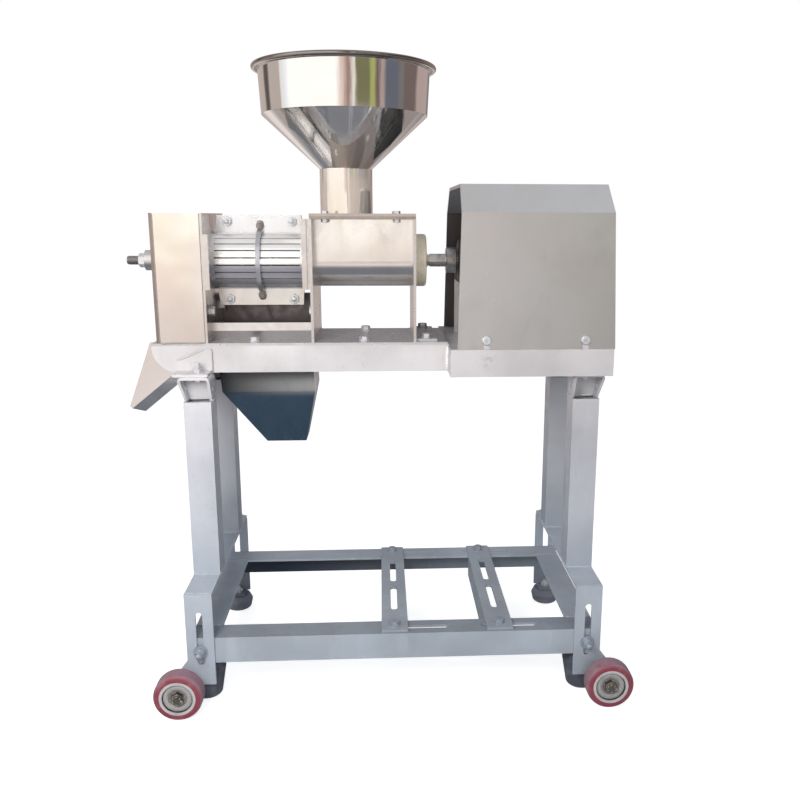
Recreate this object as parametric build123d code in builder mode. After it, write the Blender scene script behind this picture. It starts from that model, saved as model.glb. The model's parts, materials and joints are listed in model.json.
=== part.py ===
"""Coconut milk extractor: a screw press with a hopper on a wheeled stand, in millimetres.

X runs along the press screw, Y from the front to the back, Z up. The model is laid out from
the middle of the stand, the screw's axis and the floor, and is centred before it is written.
"""

import os
from math import atan2, cos, radians, sin, tan

from build123d import *

# Stand
stand_width = 614.8
leg_size = 40
leg_wall = 2
leg_length = 269
leg_front = -120.3
leg_depth = 213.2
angle_size = 40
angle_wall = 4
beam_top = 177
post_wall = 4
post_bottom = 33
post_slot_bottom = 65
post_slot_top = 148
post_slot_gap = 1
post_corner_radius = 10

# Sliding motor platform
platform_front = -186.6
platform_depth = 326.4
platform_top = 106
platform_side_gap = 1.4
slide_gap = 0.2
rail_slot_gap = 0.75
rail_slots = ((-20, 79), (129, 213))
motor_bar_centres = (-1.7, 156.5)
motor_bar_end_gap = 3
motor_bar_notch = 5
motor_slot_width = 10
motor_slot_length = 82
motor_slot_gap = 22

# Feet and wheels
front_foot_height = 55
rear_foot_height = 26
front_foot_radius = 29
rear_foot_radius = 25.5
foot_slope = 0.14
foot_bevel = 5
foot_corner = 6
foot_post_gap = 1
foot_tab_wall = 4
foot_tab_width = 26
rear_foot_inset = 7
wheel_radius = 35.2
wheel_width = 28
wheel_overhang = 7.3
wheel_clearance = 1
wheel_post_gap = 15.2
tyre_wall = 9.2
tyre_corner = 6
hub_ring_width = 4
hub_groove_width = 1.2
hub_disc_width = 7.3
hub_recess = 3
axle_radius = 5
axle_nut_flats = 16
axle_nut_height = 8
wheel_strip_radius = 16
wheel_strip_top = 72

# Upper frame
bracket_height = 37.5
bracket_wall = 4
bracket_overhang = 4
bracket_flare = 8
bracket_bend = 7
bracket_taper = 10
bracket_hole_radius = 4
bracket_web_back = 28
leg_bolt_back = 16
ear_wall = 4
ear_width = 51
ear_left_overhang = 14
ear_low_side = 18
ear_top_width = 9
press_overhang = 50.1
press_depth = 166
press_corner_radius = 37
drive_overhang = 14.6
drive_length = 240
drive_depth = 272

# Press body
base_wall = 4
plate_wall = 4
end_plate_wall = 5
end_plate_inset = 8
discharge_bay = 66
cage_bay = 152.5
feed_bay = 148.5
axis_rise = 117.5
plate_height = 188.5
sheet_wall = 1.5
flange_wall = 4
flange_depth = 144
plate_foot_length = 32
plate_foot_depth = 150
base_hole_margin = 4
base_hole_depth = 76
base_bolt_depth = 124
cage_base_bolt_shift = 11
side_bolt_drop = 74
guard_width = 7
guard_wall = 6
guard_drop = 39
guard_rise = 41
guard_bridge = 4
shaft_hole_gap = 1

# Screw, cage and choke
shaft_radius = 10
shaft_fit = 0.05
auger_radius = 36
auger_core_radius = 18
auger_pitch = 44
auger_flight_wall = 5
auger_root = 2
auger_end_gap = 3.5
auger_cage_gap = 1.3
auger_trough_gap = 2.5
cage_bar_wall = 5.2
cage_ring_step = 1
cage_ring_widths = (7, 17)
cage_bars = 24
cage_gap = 2
cage_split = 0.5
cage_flange_wall = 4.5
cage_flange_height = 26
cage_flange_insets = (4, 15.5)
cage_flange_slant = 3
cage_bolt_rise = 16.5
cage_bolt_insets = (22.5, 31.3)
hoop_height = 6
hoop_width = 7
hoop_shift = 4
hoop_end_rise = 14.5
rib_height = 6
outlet_step = 0.3
choke_overlap = 3
choke_tip_radius = 24
choke_length = 38
choke_flange = 8
choke_reach = 16
adjuster_radius = 7
thread_fit = 0.1
boss_radius = 15.5
boss_length = 29
lock_nut_flats = 19
lock_nut_height = 10.4
adjuster_tail = 18

# Trough, hopper, tray and chutes
hopper_offset = 48.5
neck_height = 66
cone_height = 77
bowl_radius = 124
bowl_top_radius = 127.5
bowl_height = 63
rim_radius = 137
rim_bead = 3.5
flange_bolt_insets = (22, 28)
flange_bolt_depth = 112
tray_half_depth = 44
tray_bulge = 8
tray_fold = 14.5
tray_lip = 26.5
tray_guard = 62.5
tray_guard_lean = 4
chute_half_depth = 42
milk_chute_inset = 3
milk_mouth_drop = 76.5
milk_mouth_shift = (8, 4)
milk_mouth_bulge = 8
milk_spout_drop = 157.5
milk_spout_back = 14
milk_spout_width = 61
milk_spout_inset = 76
residue_lip_reach = 13
residue_tip_reach = 50
residue_tip_drop = 99.5
residue_floor_end_drop = 114.5
residue_floor_reach = 35
residue_floor_drop = 22
residue_floor_half = 12
residue_fold_rise = 16

# Drive
bush_radius = 40.3
bush_length = 18
bush_corner = 4
collar_radius = 19.8
collar_length = 16
collar_start = 2
collar_chamfer = 1
block_width = 30
block_depth = 110
block_base = 12
block_radius = 31
block_rise = 33.3
block_bolt_depth = 84
left_block_offset = 36
right_block_offset = 37
stand_wall = 4
stand_half_depth = 56
pulley_radius = 95
pulley_width = 34
pulley_groove_depth = 13
pulley_groove_floor = 6
pulley_land = 2
pulley_web = 10
pulley_hub_radius = 24
shaft_end_gap = 8
shaft_groove = 1.5
cover_wall = 1.2
cover_left_inset = 10
cover_setback = 1
cover_wall_height = 194.5
cover_chamfer = 40
cover_chamfer_angle = 45
cover_right_overhang = 1.4
cover_left_lean = 5
cover_right_lean = 11
cover_lip = 5
cover_screw_height = 13.5
cover_screw_insets = (42, 187)
cover_slot_gap = 2.1
cover_tab_width = 20
cover_tab_wall = 3
cover_tab_gap = 0.4
cover_tab_height = 26

# Fasteners
bolt_radius = 4
bolt_hole_gap = 0.5
bolt_flats = 13
bolt_head = 5.3
bolt_nut = 6.5
bolt_tail = 4
leg_bolt_tail = 8
flange_bolt_tail = 0.5
small_bolt = 0.75
nut_chamfer_angle = 30
nut_crown = 0.95
washer_radius = 8.5
clamp_washer_radius = 10.3
clamp_tail = 8
washer_wall = 1.6
screw_radius = 3
screw_head_radius = 6.8
screw_head_height = 4
screw_cross_length = 7
screw_cross_width = 1.6

# Holes and bores, each the size of what goes through it and a clearance
bolt_hole_radius = bolt_radius + bolt_hole_gap
flange_hole_radius = bolt_radius * small_bolt + bolt_hole_gap
post_slot_width = 2 * (bolt_radius + post_slot_gap)
rail_slot_width = 2 * (bolt_radius + rail_slot_gap)
cover_slot_width = 2 * (screw_radius + cover_slot_gap)
cage_bore_radius = auger_radius + auger_cage_gap
cage_radius = cage_bore_radius + cage_bar_wall
cage_ring_radius = cage_radius + cage_ring_step
cage_flange_top = cage_radius + cage_flange_height
cage_bolt_height = cage_radius + cage_bolt_rise
hoop_radius = cage_radius + hoop_height
hoop_end_height = cage_radius + hoop_end_rise
outlet_radius = cage_bore_radius - outlet_step
choke_base_radius = outlet_radius + choke_overlap
feed_bore_radius = auger_radius + auger_trough_gap
trough_radius = feed_bore_radius + sheet_wall
neck_radius = trough_radius

# Levels
leg_top = beam_top + leg_length
frame_bottom = leg_top + bracket_height
frame_top = frame_bottom + angle_size
base_top = frame_top + base_wall
axis_z = base_top + axis_rise
plate_top = base_top + plate_height
feed_top = plate_top - 2 * flange_wall
platform_bottom = platform_top - angle_size
wheel_z = wheel_radius + wheel_clearance

# Places along X
stand_half = stand_width / 2
leg_centre = stand_half - leg_size / 2
press_left = -stand_half - press_overhang
drive_right = stand_half + drive_overhang
drive_left = drive_right - drive_length
end_left = press_left + end_plate_inset
end_right = end_left + end_plate_wall
outlet_left = end_right + discharge_bay
outlet_right = outlet_left + plate_wall
inner_left = outlet_right + cage_bay
inner_right = inner_left + plate_wall
outer_left = inner_right + feed_bay
outer_right = outer_left + plate_wall
hopper_x = inner_right + hopper_offset
left_block_x = drive_left + left_block_offset
right_block_x = drive_right - right_block_offset
pulley_x = (left_block_x + right_block_x) / 2
cage_middle = (outlet_right + inner_left) / 2
hoop_x = cage_middle - hoop_shift
feed_middle = (inner_right + outer_left) / 2
wheel_x = stand_half + wheel_overhang
platform_half = stand_half - angle_wall - platform_side_gap
platform_bolt_z = platform_top - angle_size / 2

# Places along Y
press_half = press_depth / 2
drive_half = drive_depth / 2
leg_fronts = (leg_front, leg_front + leg_depth - leg_size)
platform_back = platform_front + platform_depth
platform_middle = (platform_front + platform_back) / 2
front_post_back = platform_front - slide_gap
front_post_front = front_post_back - post_wall
rear_post_front = platform_back + slide_gap
rear_post_back = rear_post_front + post_wall
wheel_back = front_post_front - wheel_post_gap
wheel_front = wheel_back - wheel_width

pieces = {}


def keep(name, part):
    """File a finished piece under its name."""
    part.label = name
    pieces[name] = part


def span(sign, near, far):
    """Limits of a stretch that lies on one side of the middle, low end first."""
    return tuple(sorted((sign * near, sign * far)))


def slab(x_span, y_span, z_span, mode=Mode.ADD):
    """Add or cut a square block, given its two limits on each axis."""
    spans = (x_span, y_span, z_span)
    with Locations(tuple((low + high) / 2 for low, high in spans)):
        Box(*(high - low for low, high in spans), mode=mode)


def rod(start, direction, radius, length, mode=Mode.ADD):
    """Add or cut a round bar that runs from a point along a direction."""
    with Locations(Plane(origin=start, z_dir=direction)):
        Cylinder(radius, length, align=(Align.CENTER, Align.CENTER, Align.MIN), mode=mode)


def ring(start, direction, outer, inner, length):
    """Add a round tube that runs from a point along a direction."""
    with BuildSketch(Plane(origin=start, z_dir=direction), mode=Mode.PRIVATE) as outline:
        Circle(outer)
        Circle(inner, mode=Mode.SUBTRACT)
    extrude(outline.sketch, amount=length)


def slot(centre, direction, along, length, width, depth):
    """Cut a round-ended slot through a plate, as long as given from end to end."""
    plane = Plane(origin=centre, x_dir=along, z_dir=direction)
    with BuildSketch(plane, mode=Mode.PRIVATE) as outline:
        SlotOverall(length, width)
    extrude(outline.sketch, amount=depth, both=True, mode=Mode.SUBTRACT)


def hexagon(start, direction, flats, height):
    """Add a hexagon bolt head or nut that stands on a point, with its far corners turned down."""
    crown = nut_crown * flats / 2
    spread = height / tan(radians(nut_chamfer_angle))
    with BuildSketch(mode=Mode.PRIVATE) as outline:
        RegularPolygon(flats / 2, 6, major_radius=False)
    prism = extrude(outline.sketch, amount=height, mode=Mode.PRIVATE)
    upward = (Align.CENTER, Align.CENTER, Align.MIN)
    turned = Cone(crown + spread, crown, height, align=upward, mode=Mode.PRIVATE)
    add((prism & turned).moved(Plane(origin=start, z_dir=direction).location))


def through_bolt(seat, direction, grip, washer=0, scale=1, tail=bolt_tail):
    """Add a bolt whose head stands on a seat, with its nut at the far side of the grip."""
    out = Vector(*direction).normalized()
    head = Vector(*seat)
    nut = head - out * grip
    tip = nut - out * (bolt_nut * scale + tail)
    rod(tip, out, bolt_radius * scale, (head - tip).length + bolt_head * scale / 2)
    if washer:
        rod(head, out, washer_radius, washer)
    hexagon(head + out * washer, out, bolt_flats * scale, bolt_head * scale)
    hexagon(nut, -out, bolt_flats * scale, bolt_nut * scale)


# Legs, each a square tube with a folded bolting bracket welded on its top
def saddle(sign, wall, y_span):
    """Solid bracket shape, drawn in by the given wall, with its outer side leaning out."""
    top = frame_bottom - wall
    lean = bracket_flare / bracket_height
    inner = stand_half - leg_size + wall
    with BuildPart() as shape:
        with BuildSketch(Plane.XZ.offset(-y_span[1])) as front_view:
            with BuildLine():
                Polyline(
                    (sign * inner, leg_top),
                    (sign * inner, top),
                    (sign * (stand_half - wall + lean * (top - leg_top)), top),
                    (sign * (stand_half - wall), leg_top),
                    close=True,
                )
            make_face()
            fillet(front_view.vertices().group_by(Axis.Y)[-1], bracket_bend - wall)
        extrude(amount=y_span[1] - y_span[0])
    return shape.part


def make_leg(sign, front):
    back = front + leg_size
    x_span = span(sign, stand_half - leg_size, stand_half + bracket_flare)
    lip = front - bracket_overhang
    web = (front + bracket_web_back, front + bracket_web_back + bracket_wall)
    plate_bottom = frame_bottom - bracket_wall
    with BuildPart() as leg:
        add(saddle(sign, 0, (lip, back)))
        for space in ((lip, web[0]), (web[1], back)):
            add(saddle(sign, bracket_wall, space), mode=Mode.SUBTRACT)
        with BuildSketch(Plane.YZ.offset(x_span[0])):
            with BuildLine():
                Polyline((lip, plate_bottom), (front + bracket_taper, leg_top), (lip, leg_top), close=True)
            make_face()
        extrude(amount=x_span[1] - x_span[0], mode=Mode.SUBTRACT)
        with BuildSketch(Plane.XY.offset(beam_top)):
            with Locations((sign * leg_centre, front + leg_size / 2)):
                Rectangle(leg_size, leg_size)
                Rectangle(leg_size - 2 * leg_wall, leg_size - 2 * leg_wall, mode=Mode.SUBTRACT)
        extrude(amount=leg_length)
        side_hole = (x_span[0], front + leg_bolt_back, (leg_top + plate_bottom) / 2)
        rod(side_hole, (1, 0, 0), bracket_hole_radius, x_span[1] - x_span[0], mode=Mode.SUBTRACT)
        bolt_hole = (sign * leg_centre, front + leg_bolt_back, plate_bottom)
        rod(bolt_hole, (0, 0, 1), bolt_hole_radius, bracket_wall, mode=Mode.SUBTRACT)
    return leg.part


for side, sign in (("left", -1), ("right", 1)):
    for end, front in zip(("front", "rear"), leg_fronts):
        keep(f"{end}_{side}_leg", make_leg(sign, front))


# Foot beams, angle bars with the upright flange outside
def make_foot_beam(sign):
    y_span = (front_post_back, rear_post_front)
    with BuildPart() as beam:
        slab(span(sign, stand_half - angle_size, stand_half), y_span, (beam_top - angle_wall, beam_top))
        slab(span(sign, stand_half - angle_wall, stand_half), y_span, (beam_top - angle_size, beam_top))
    return beam.part


for side, sign in (("left", -1), ("right", 1)):
    keep(f"{side}_foot_beam", make_foot_beam(sign))


# Posts at the ends of the foot beams, slotted for the platform, each with the tab for its foot.
# The front ones are angle bars, whose side flange stands under the beam's
front_foot_y = front_post_back + front_foot_radius + foot_post_gap
rear_foot_y = rear_post_front - rear_foot_inset
foot_tab_half = foot_tab_width / 2


def cut_post_slot(sign, y):
    length = post_slot_top - post_slot_bottom
    centre = (sign * leg_centre, y, post_slot_bottom + length / 2)
    slot(centre, (0, 1, 0), (0, 0, 1), length, post_slot_width, post_wall)


def make_front_post(sign):
    x_span = span(sign, stand_half - leg_size, stand_half)
    tab_x = (sign * leg_centre - foot_tab_half, sign * leg_centre + foot_tab_half)
    tab_y = (front_post_back, front_foot_y + foot_tab_half)
    foot_z = (front_foot_height, front_foot_height + foot_tab_wall)
    axle = (sign * wheel_x, wheel_z)
    with BuildPart() as post:
        slab(x_span, (front_post_front, front_post_back), (post_bottom, beam_top))
        cut_post_slot(sign, front_post_front)
        flange_x = span(sign, stand_half - post_wall, stand_half)
        slab(flange_x, (front_post_back, front_post_front + leg_size), (foot_z[1], beam_top - angle_size))
        slab(tab_x, tab_y, foot_z)
        stud = (sign * leg_centre, front_foot_y, foot_z[0])
        rod(stud, (0, 0, 1), bolt_hole_radius, foot_tab_wall, mode=Mode.SUBTRACT)
        with BuildSketch(Plane.XZ.offset(-front_post_back)):
            with Locations(axle):
                Circle(wheel_strip_radius)
            with Locations((sign * (stand_half - post_wall / 2), (post_bottom + wheel_strip_top) / 2)):
                Rectangle(post_wall, wheel_strip_top - post_bottom)
            make_hull()
        extrude(amount=post_wall)
        axle_start = (axle[0], front_post_front, axle[1])
        rod(axle_start, (0, 1, 0), axle_radius + shaft_fit, post_wall, mode=Mode.SUBTRACT)
    return post.part


def make_rear_post(sign):
    x_span = span(sign, stand_half - leg_size, stand_half)
    tab_x = (sign * leg_centre - foot_tab_half, sign * leg_centre + foot_tab_half)
    tab_y = (rear_foot_y - foot_tab_half, rear_post_back)
    foot_z = (rear_foot_height, rear_foot_height + foot_tab_wall)
    with BuildPart() as post:
        slab(x_span, (rear_post_front, rear_post_back), (foot_z[1], beam_top))
        top_corners = post.edges().filter_by(Axis.Y).group_by(Axis.Z)[-1].sort_by(Axis.X)
        fillet(top_corners[0] if sign > 0 else top_corners[-1], post_corner_radius)
        cut_post_slot(sign, rear_post_front)
        slab(tab_x, tab_y, foot_z)
        stud = (sign * leg_centre, rear_foot_y, foot_z[0])
        rod(stud, (0, 0, 1), bolt_hole_radius, foot_tab_wall, mode=Mode.SUBTRACT)
    return post.part


for side, sign in (("left", -1), ("right", 1)):
    keep(f"front_{side}_post", make_front_post(sign))
    keep(f"rear_{side}_post", make_rear_post(sign))


# Rubber feet, turned shapes with a bevelled top that narrow towards the floor
def make_foot(x, y, height, radius):
    with BuildPart() as foot:
        with BuildSketch(Plane(origin=(x, y, 0), x_dir=(1, 0, 0), z_dir=(0, -1, 0))) as profile:
            with BuildLine():
                Polyline(
                    (0, 0),
                    (radius - foot_slope * height, 0),
                    (radius, height - 2 * foot_bevel),
                    (radius - foot_bevel, height),
                    (0, height),
                    close=True,
                )
            make_face()
            fillet(profile.vertices().group_by(Axis.X)[-1], foot_corner / 2)
            fillet(profile.vertices().group_by(Axis.Y)[0].sort_by(Axis.X)[-1], foot_corner)
        revolve(axis=Axis((x, y, 0), (0, 0, 1)))
    return foot.part


for side, sign in (("left", -1), ("right", 1)):
    x = sign * leg_centre
    keep(f"front_{side}_foot", make_foot(x, front_foot_y, front_foot_height, front_foot_radius))
    keep(f"rear_{side}_foot", make_foot(x, rear_foot_y, rear_foot_height, rear_foot_radius))


# Wheels, a moulded tyre on a grooved hub
hub_radius = wheel_radius - tyre_wall


def make_tyre(x):
    with BuildPart() as tyre:
        rod((x, wheel_back, wheel_z), (0, -1, 0), wheel_radius, wheel_width)
        fillet(tyre.edges().filter_by(GeomType.CIRCLE), tyre_corner)
        rod((x, wheel_back, wheel_z), (0, -1, 0), hub_radius + shaft_fit, wheel_width, mode=Mode.SUBTRACT)
    return tyre.part


def make_hub(x):
    groove = hub_radius - hub_ring_width
    disc = groove - hub_groove_width
    with BuildPart() as hub:
        rod((x, wheel_back, wheel_z), (0, -1, 0), hub_radius, wheel_width)
        rod((x, wheel_front, wheel_z), (0, 1, 0), groove, 2 * hub_recess, mode=Mode.SUBTRACT)
        rod((x, wheel_front + hub_recess, wheel_z), (0, 1, 0), disc, 2 * hub_recess)
        rod((x, wheel_back, wheel_z), (0, -1, 0), axle_radius + shaft_fit, wheel_width, mode=Mode.SUBTRACT)
        for face_y, out in ((wheel_front + hub_recess, 1), (wheel_back, -1)):
            recess = disc - hub_disc_width
            rod((x, face_y, wheel_z), (0, out, 0), recess, hub_recess, mode=Mode.SUBTRACT)
    return hub.part


for side, sign in (("left", -1), ("right", 1)):
    keep(f"{side}_wheel_tyre", make_tyre(sign * wheel_x))
    keep(f"{side}_wheel_hub", make_hub(sign * wheel_x))

with BuildPart() as wheel_axles:
    nut_seat = wheel_front + 2 * hub_recess - slide_gap
    for x in (-wheel_x, wheel_x):
        head_seat = (x, front_post_back, wheel_z)
        rod(head_seat, (0, -1, 0), axle_radius, front_post_back - nut_seat + axle_nut_height + hub_recess)
        hexagon(head_seat, (0, 1, 0), axle_nut_flats, axle_nut_height / 2)
        rod((x, front_post_front, wheel_z), (0, -1, 0), washer_radius, wheel_post_gap - slide_gap)
        hexagon((x, nut_seat, wheel_z), (0, -1, 0), axle_nut_flats, axle_nut_height)
keep("wheel_axles", wheel_axles.part)


# Motor platform, a frame of angle bars that is clamped to the slotted posts
def make_cross_platform_rail(upright_y, top_y):
    with BuildPart() as rail:
        slab((-platform_half, platform_half), top_y, (platform_top - angle_wall, platform_top))
        slab((-platform_half, platform_half), upright_y, (platform_bottom, platform_top))
        for low, high in rail_slots:
            centre = ((low + high) / 2, sum(top_y) / 2, platform_top)
            slot(centre, (0, 0, 1), (1, 0, 0), high - low, rail_slot_width, angle_wall)
        for x in (-leg_centre, leg_centre):
            hole = (x, upright_y[0], platform_bolt_z)
            rod(hole, (0, 1, 0), bolt_hole_radius, angle_wall, mode=Mode.SUBTRACT)
    return rail.part


front_rail_y = (platform_front, platform_front + angle_size)
rear_rail_y = (platform_back - angle_size, platform_back)
front_upright = (platform_front, platform_front + angle_wall)
rear_upright = (platform_back - angle_wall, platform_back)
keep("front_platform_rail", make_cross_platform_rail(front_upright, front_rail_y))
keep("rear_platform_rail", make_cross_platform_rail(rear_upright, rear_rail_y))

for side, sign in (("left", -1), ("right", 1)):
    with BuildPart() as side_rail:
        rail_y = (front_rail_y[1], rear_rail_y[0])
        rail_top = (platform_top - angle_wall, platform_top)
        slab(span(sign, platform_half - angle_size, platform_half), rail_y, rail_top)
        slab(span(sign, platform_half - angle_wall, platform_half), rail_y, (platform_bottom, platform_top))
    keep(f"{side}_platform_rail", side_rail.part)

with BuildPart() as platform_bolts:
    clamp_grip = post_wall + slide_gap + angle_wall
    for x in (-leg_centre, leg_centre):
        for seat_y, out in ((front_post_front, -1), (rear_post_back, 1)):
            outward = Vector(0, out, 0)
            seat = Vector(x, seat_y + out * slide_gap, platform_bolt_z)
            head = seat - outward * (clamp_grip + slide_gap)
            tip = seat + outward * (washer_wall + bolt_nut + clamp_tail)
            rod(head - outward * bolt_nut, outward, bolt_radius, (tip - head).length + bolt_nut)
            rod(seat, outward, clamp_washer_radius, washer_wall)
            hexagon(seat + outward * washer_wall, outward, bolt_flats, bolt_nut)
            hexagon(head, -outward, bolt_flats, bolt_head)
keep("platform_bolts", platform_bolts.part)

# Motor bars, slotted angles that slide along the platform's cross rails
bar_bottom = platform_top + slide_gap
bar_top = bar_bottom + angle_wall
bar_y = (platform_front + motor_bar_end_gap, platform_back - motor_bar_end_gap)
bar_bolt_ys = (sum(front_rail_y) / 2, sum(rear_rail_y) / 2)
for side, centre in zip(("left", "right"), motor_bar_centres):
    bar_x = (centre - angle_size / 2, centre + angle_size / 2)
    upright_x = (bar_x[0], bar_x[0] + angle_wall)
    upright_y = (front_rail_y[1] + motor_bar_notch, rear_rail_y[0] - motor_bar_notch)
    with BuildPart() as motor_bar:
        slab(bar_x, bar_y, (bar_bottom, bar_top))
        slab(upright_x, upright_y, (bar_top - angle_size, bar_bottom))
        for step in (-1, 1):
            slot_y = platform_middle + step * (motor_slot_length + motor_slot_gap) / 2
            middle = (centre, slot_y, bar_top)
            slot(middle, (0, 0, 1), (0, 1, 0), motor_slot_length, motor_slot_width, angle_wall)
        for y in bar_bolt_ys:
            rod((centre, y, bar_bottom), (0, 0, 1), bolt_hole_radius, angle_wall, mode=Mode.SUBTRACT)
    keep(f"{side}_motor_bar", motor_bar.part)
    with BuildPart() as bar_bolts:
        for y in bar_bolt_ys:
            through_bolt((centre, y, bar_top), (0, 0, 1), 2 * angle_wall + 2 * slide_gap, washer_wall)
    keep(f"{side}_motor_bar_bolts", bar_bolts.part)

# Bolt places on the base plate
base_bolt_xs = (cage_middle - cage_base_bolt_shift, feed_middle, outer_right + plate_foot_length / 2)


# Press rails, angle bars with a rounded lower end and a welded ear for the left legs, an angle in front
def make_press_rail(sign, leg_y, ear_y):
    upright = span(sign, press_half - angle_wall, press_half)
    ear_x = (-stand_half - ear_left_overhang, -stand_half - ear_left_overhang + ear_width)
    with BuildPart() as rail:
        with BuildSketch(Plane.XZ.offset(-upright[1])) as side_view:
            with Locations(((press_left + drive_left) / 2, (frame_bottom + frame_top) / 2)):
                Rectangle(drive_left - press_left, angle_size)
            lower_left = side_view.vertices().group_by(Axis.Y)[0].sort_by(Axis.X)[0]
            fillet(lower_left, press_corner_radius)
        extrude(amount=angle_wall)
        top_y = span(sign, press_half - angle_size, press_half)
        slab((press_left, drive_left), top_y, (frame_top - angle_wall, frame_top))
        slab(ear_x, ear_y, (frame_bottom, frame_bottom + ear_wall))
        if sign < 0:
            with BuildSketch(Plane.XZ.offset(-ear_y[1])):
                with BuildLine():
                    Polyline(
                        (ear_x[0], frame_bottom),
                        (ear_x[0], frame_bottom + ear_low_side),
                        (ear_x[1] - ear_top_width, frame_top - angle_wall),
                        (ear_x[1], frame_top - angle_wall),
                        (ear_x[1], frame_bottom),
                        close=True,
                    )
                make_face()
            extrude(amount=ear_wall)
        hole = (-leg_centre, leg_y + leg_bolt_back, frame_bottom)
        rod(hole, (0, 0, 1), bolt_hole_radius, ear_wall, mode=Mode.SUBTRACT)
        for x in base_bolt_xs:
            hole = (x, sign * base_bolt_depth / 2, frame_top - angle_wall)
            rod(hole, (0, 0, 1), bolt_hole_radius, angle_wall, mode=Mode.SUBTRACT)
    return rail.part


front_ear_y = (leg_fronts[0], -press_half)
rear_ear_y = (leg_fronts[1] - bracket_overhang, press_half - angle_wall)
keep("front_press_rail", make_press_rail(-1, leg_fronts[0], front_ear_y))
keep("rear_press_rail", make_press_rail(1, leg_fronts[1], rear_ear_y))


# Drive frame, two long angle bars with tabs for the cover and two cross bars with bearing stands
cover_left = drive_left + cover_left_inset
cover_front = -drive_half + cover_setback
cover_screw_xs = [cover_left + inset for inset in cover_screw_insets]
cover_screw_z = frame_top + cover_screw_height


def make_drive_rail(sign):
    tab_near = -cover_front - cover_wall - cover_tab_gap
    with BuildPart() as rail:
        upright = span(sign, drive_half - angle_wall, drive_half)
        slab((drive_left, drive_right), upright, (frame_bottom, frame_top))
        top_y = span(sign, drive_half - angle_size, drive_half)
        slab((drive_left, drive_right), top_y, (frame_top - angle_wall, frame_top))
        for x in cover_screw_xs:
            tab_x = (x - cover_tab_width / 2, x + cover_tab_width / 2)
            tab_y = span(sign, tab_near - cover_tab_wall, tab_near)
            slab(tab_x, tab_y, (frame_top, frame_top + cover_tab_height))
            hole = (x, tab_y[0], cover_screw_z)
            rod(hole, (0, 1, 0), screw_radius + thread_fit, cover_tab_wall, mode=Mode.SUBTRACT)
    return rail.part


keep("front_drive_rail", make_drive_rail(-1))
keep("rear_drive_rail", make_drive_rail(1))

stand_top = axis_z - block_rise


def make_cross_rail(upright_x, top_x, block_x):
    stand_x = (block_x - block_width / 2, block_x + block_width / 2)
    rail_half = drive_half - angle_size
    with BuildPart() as rail:
        slab(top_x, (-rail_half, rail_half), (frame_top - angle_wall, frame_top))
        inside = drive_half - angle_wall
        slab(upright_x, (-inside, inside), (frame_bottom, frame_top - angle_wall))
        slab(stand_x, (-stand_half_depth, stand_half_depth), (stand_top - stand_wall, stand_top))
        for sign in (-1, 1):
            leg_y = span(sign, stand_half_depth - stand_wall, stand_half_depth)
            slab(stand_x, leg_y, (frame_top, stand_top - stand_wall))
            hole = (block_x, sign * block_bolt_depth / 2, stand_top - stand_wall)
            rod(hole, (0, 0, 1), bolt_hole_radius, stand_wall, mode=Mode.SUBTRACT)
    return rail


left_upright = (drive_left, drive_left + angle_wall)
left_top = (drive_left, drive_left + angle_size)
keep("left_cross_rail", make_cross_rail(left_upright, left_top, left_block_x).part)

right_upright = (drive_right - angle_wall, drive_right)
right_top = (drive_right - angle_size, drive_right)
right_rail = make_cross_rail(right_upright, right_top, right_block_x)
ear_x = (stand_half - leg_size - bracket_overhang, right_upright[0])
with BuildPart() as right_cross_rail:
    add(right_rail.part)
    for front in leg_fronts:
        ear_y = (front - bracket_overhang, front + leg_size)
        slab(ear_x, ear_y, (frame_bottom, frame_bottom + ear_wall))
        hole = (leg_centre, front + leg_bolt_back, frame_bottom)
        rod(hole, (0, 0, 1), bolt_hole_radius, ear_wall, mode=Mode.SUBTRACT)
keep("right_cross_rail", right_cross_rail.part)

# Base plate, with an opening under the discharge box and one under the cage
with BuildPart() as base_plate:
    slab((press_left, drive_left), (-press_half, press_half), (frame_top, base_top))
    opening_y = (-base_hole_depth / 2, base_hole_depth / 2)
    for low, high in ((end_right, outlet_left), (outlet_right, inner_left)):
        opening_x = (low + base_hole_margin, high - base_hole_margin)
        slab(opening_x, opening_y, (frame_top, base_top), mode=Mode.SUBTRACT)
    for x in base_bolt_xs:
        for sign in (-1, 1):
            hole = (x, sign * base_bolt_depth / 2, frame_top)
            rod(hole, (0, 0, 1), bolt_hole_radius, base_wall, mode=Mode.SUBTRACT)
keep("base_plate", base_plate.part)

# Upright plates of the press
side_bolt_z = axis_z - side_bolt_drop
side_bolt_y = press_half - angle_size
plate_y = (-press_half, press_half)

with BuildPart() as end_plate:
    slab((end_left, end_right), plate_y, (base_top, plate_top))
    rod((end_left, 0, axis_z), (-1, 0, 0), boss_radius, boss_length)
    boss_bore = adjuster_radius + thread_fit
    rod((end_right, 0, axis_z), (-1, 0, 0), boss_bore, end_plate_wall + boss_length, mode=Mode.SUBTRACT)
keep("end_plate", end_plate.part)


def make_upright(x_span, top, bore, guard_x, guard_top):
    """Upright plate with a narrow guard strip that stands at its front, beside the cage."""
    left, right = x_span
    guard_z = (axis_z - guard_drop, guard_top)
    guard_back = -press_half + guard_wall
    with BuildPart() as plate:
        slab(x_span, plate_y, (base_top, top))
        slab(guard_x, (-press_half, guard_back), guard_z)
        bridge_x = (min(left, guard_x[0]), max(right, guard_x[1]))
        slab(bridge_x, (guard_back - sheet_wall, guard_back), guard_z)
        rod((left, 0, axis_z), (1, 0, 0), bore, right - left, mode=Mode.SUBTRACT)
        for sign in (-1, 1):
            hole = (left, sign * side_bolt_y, side_bolt_z)
            rod(hole, (1, 0, 0), bolt_hole_radius, right - left, mode=Mode.SUBTRACT)
    return plate.part


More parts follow.
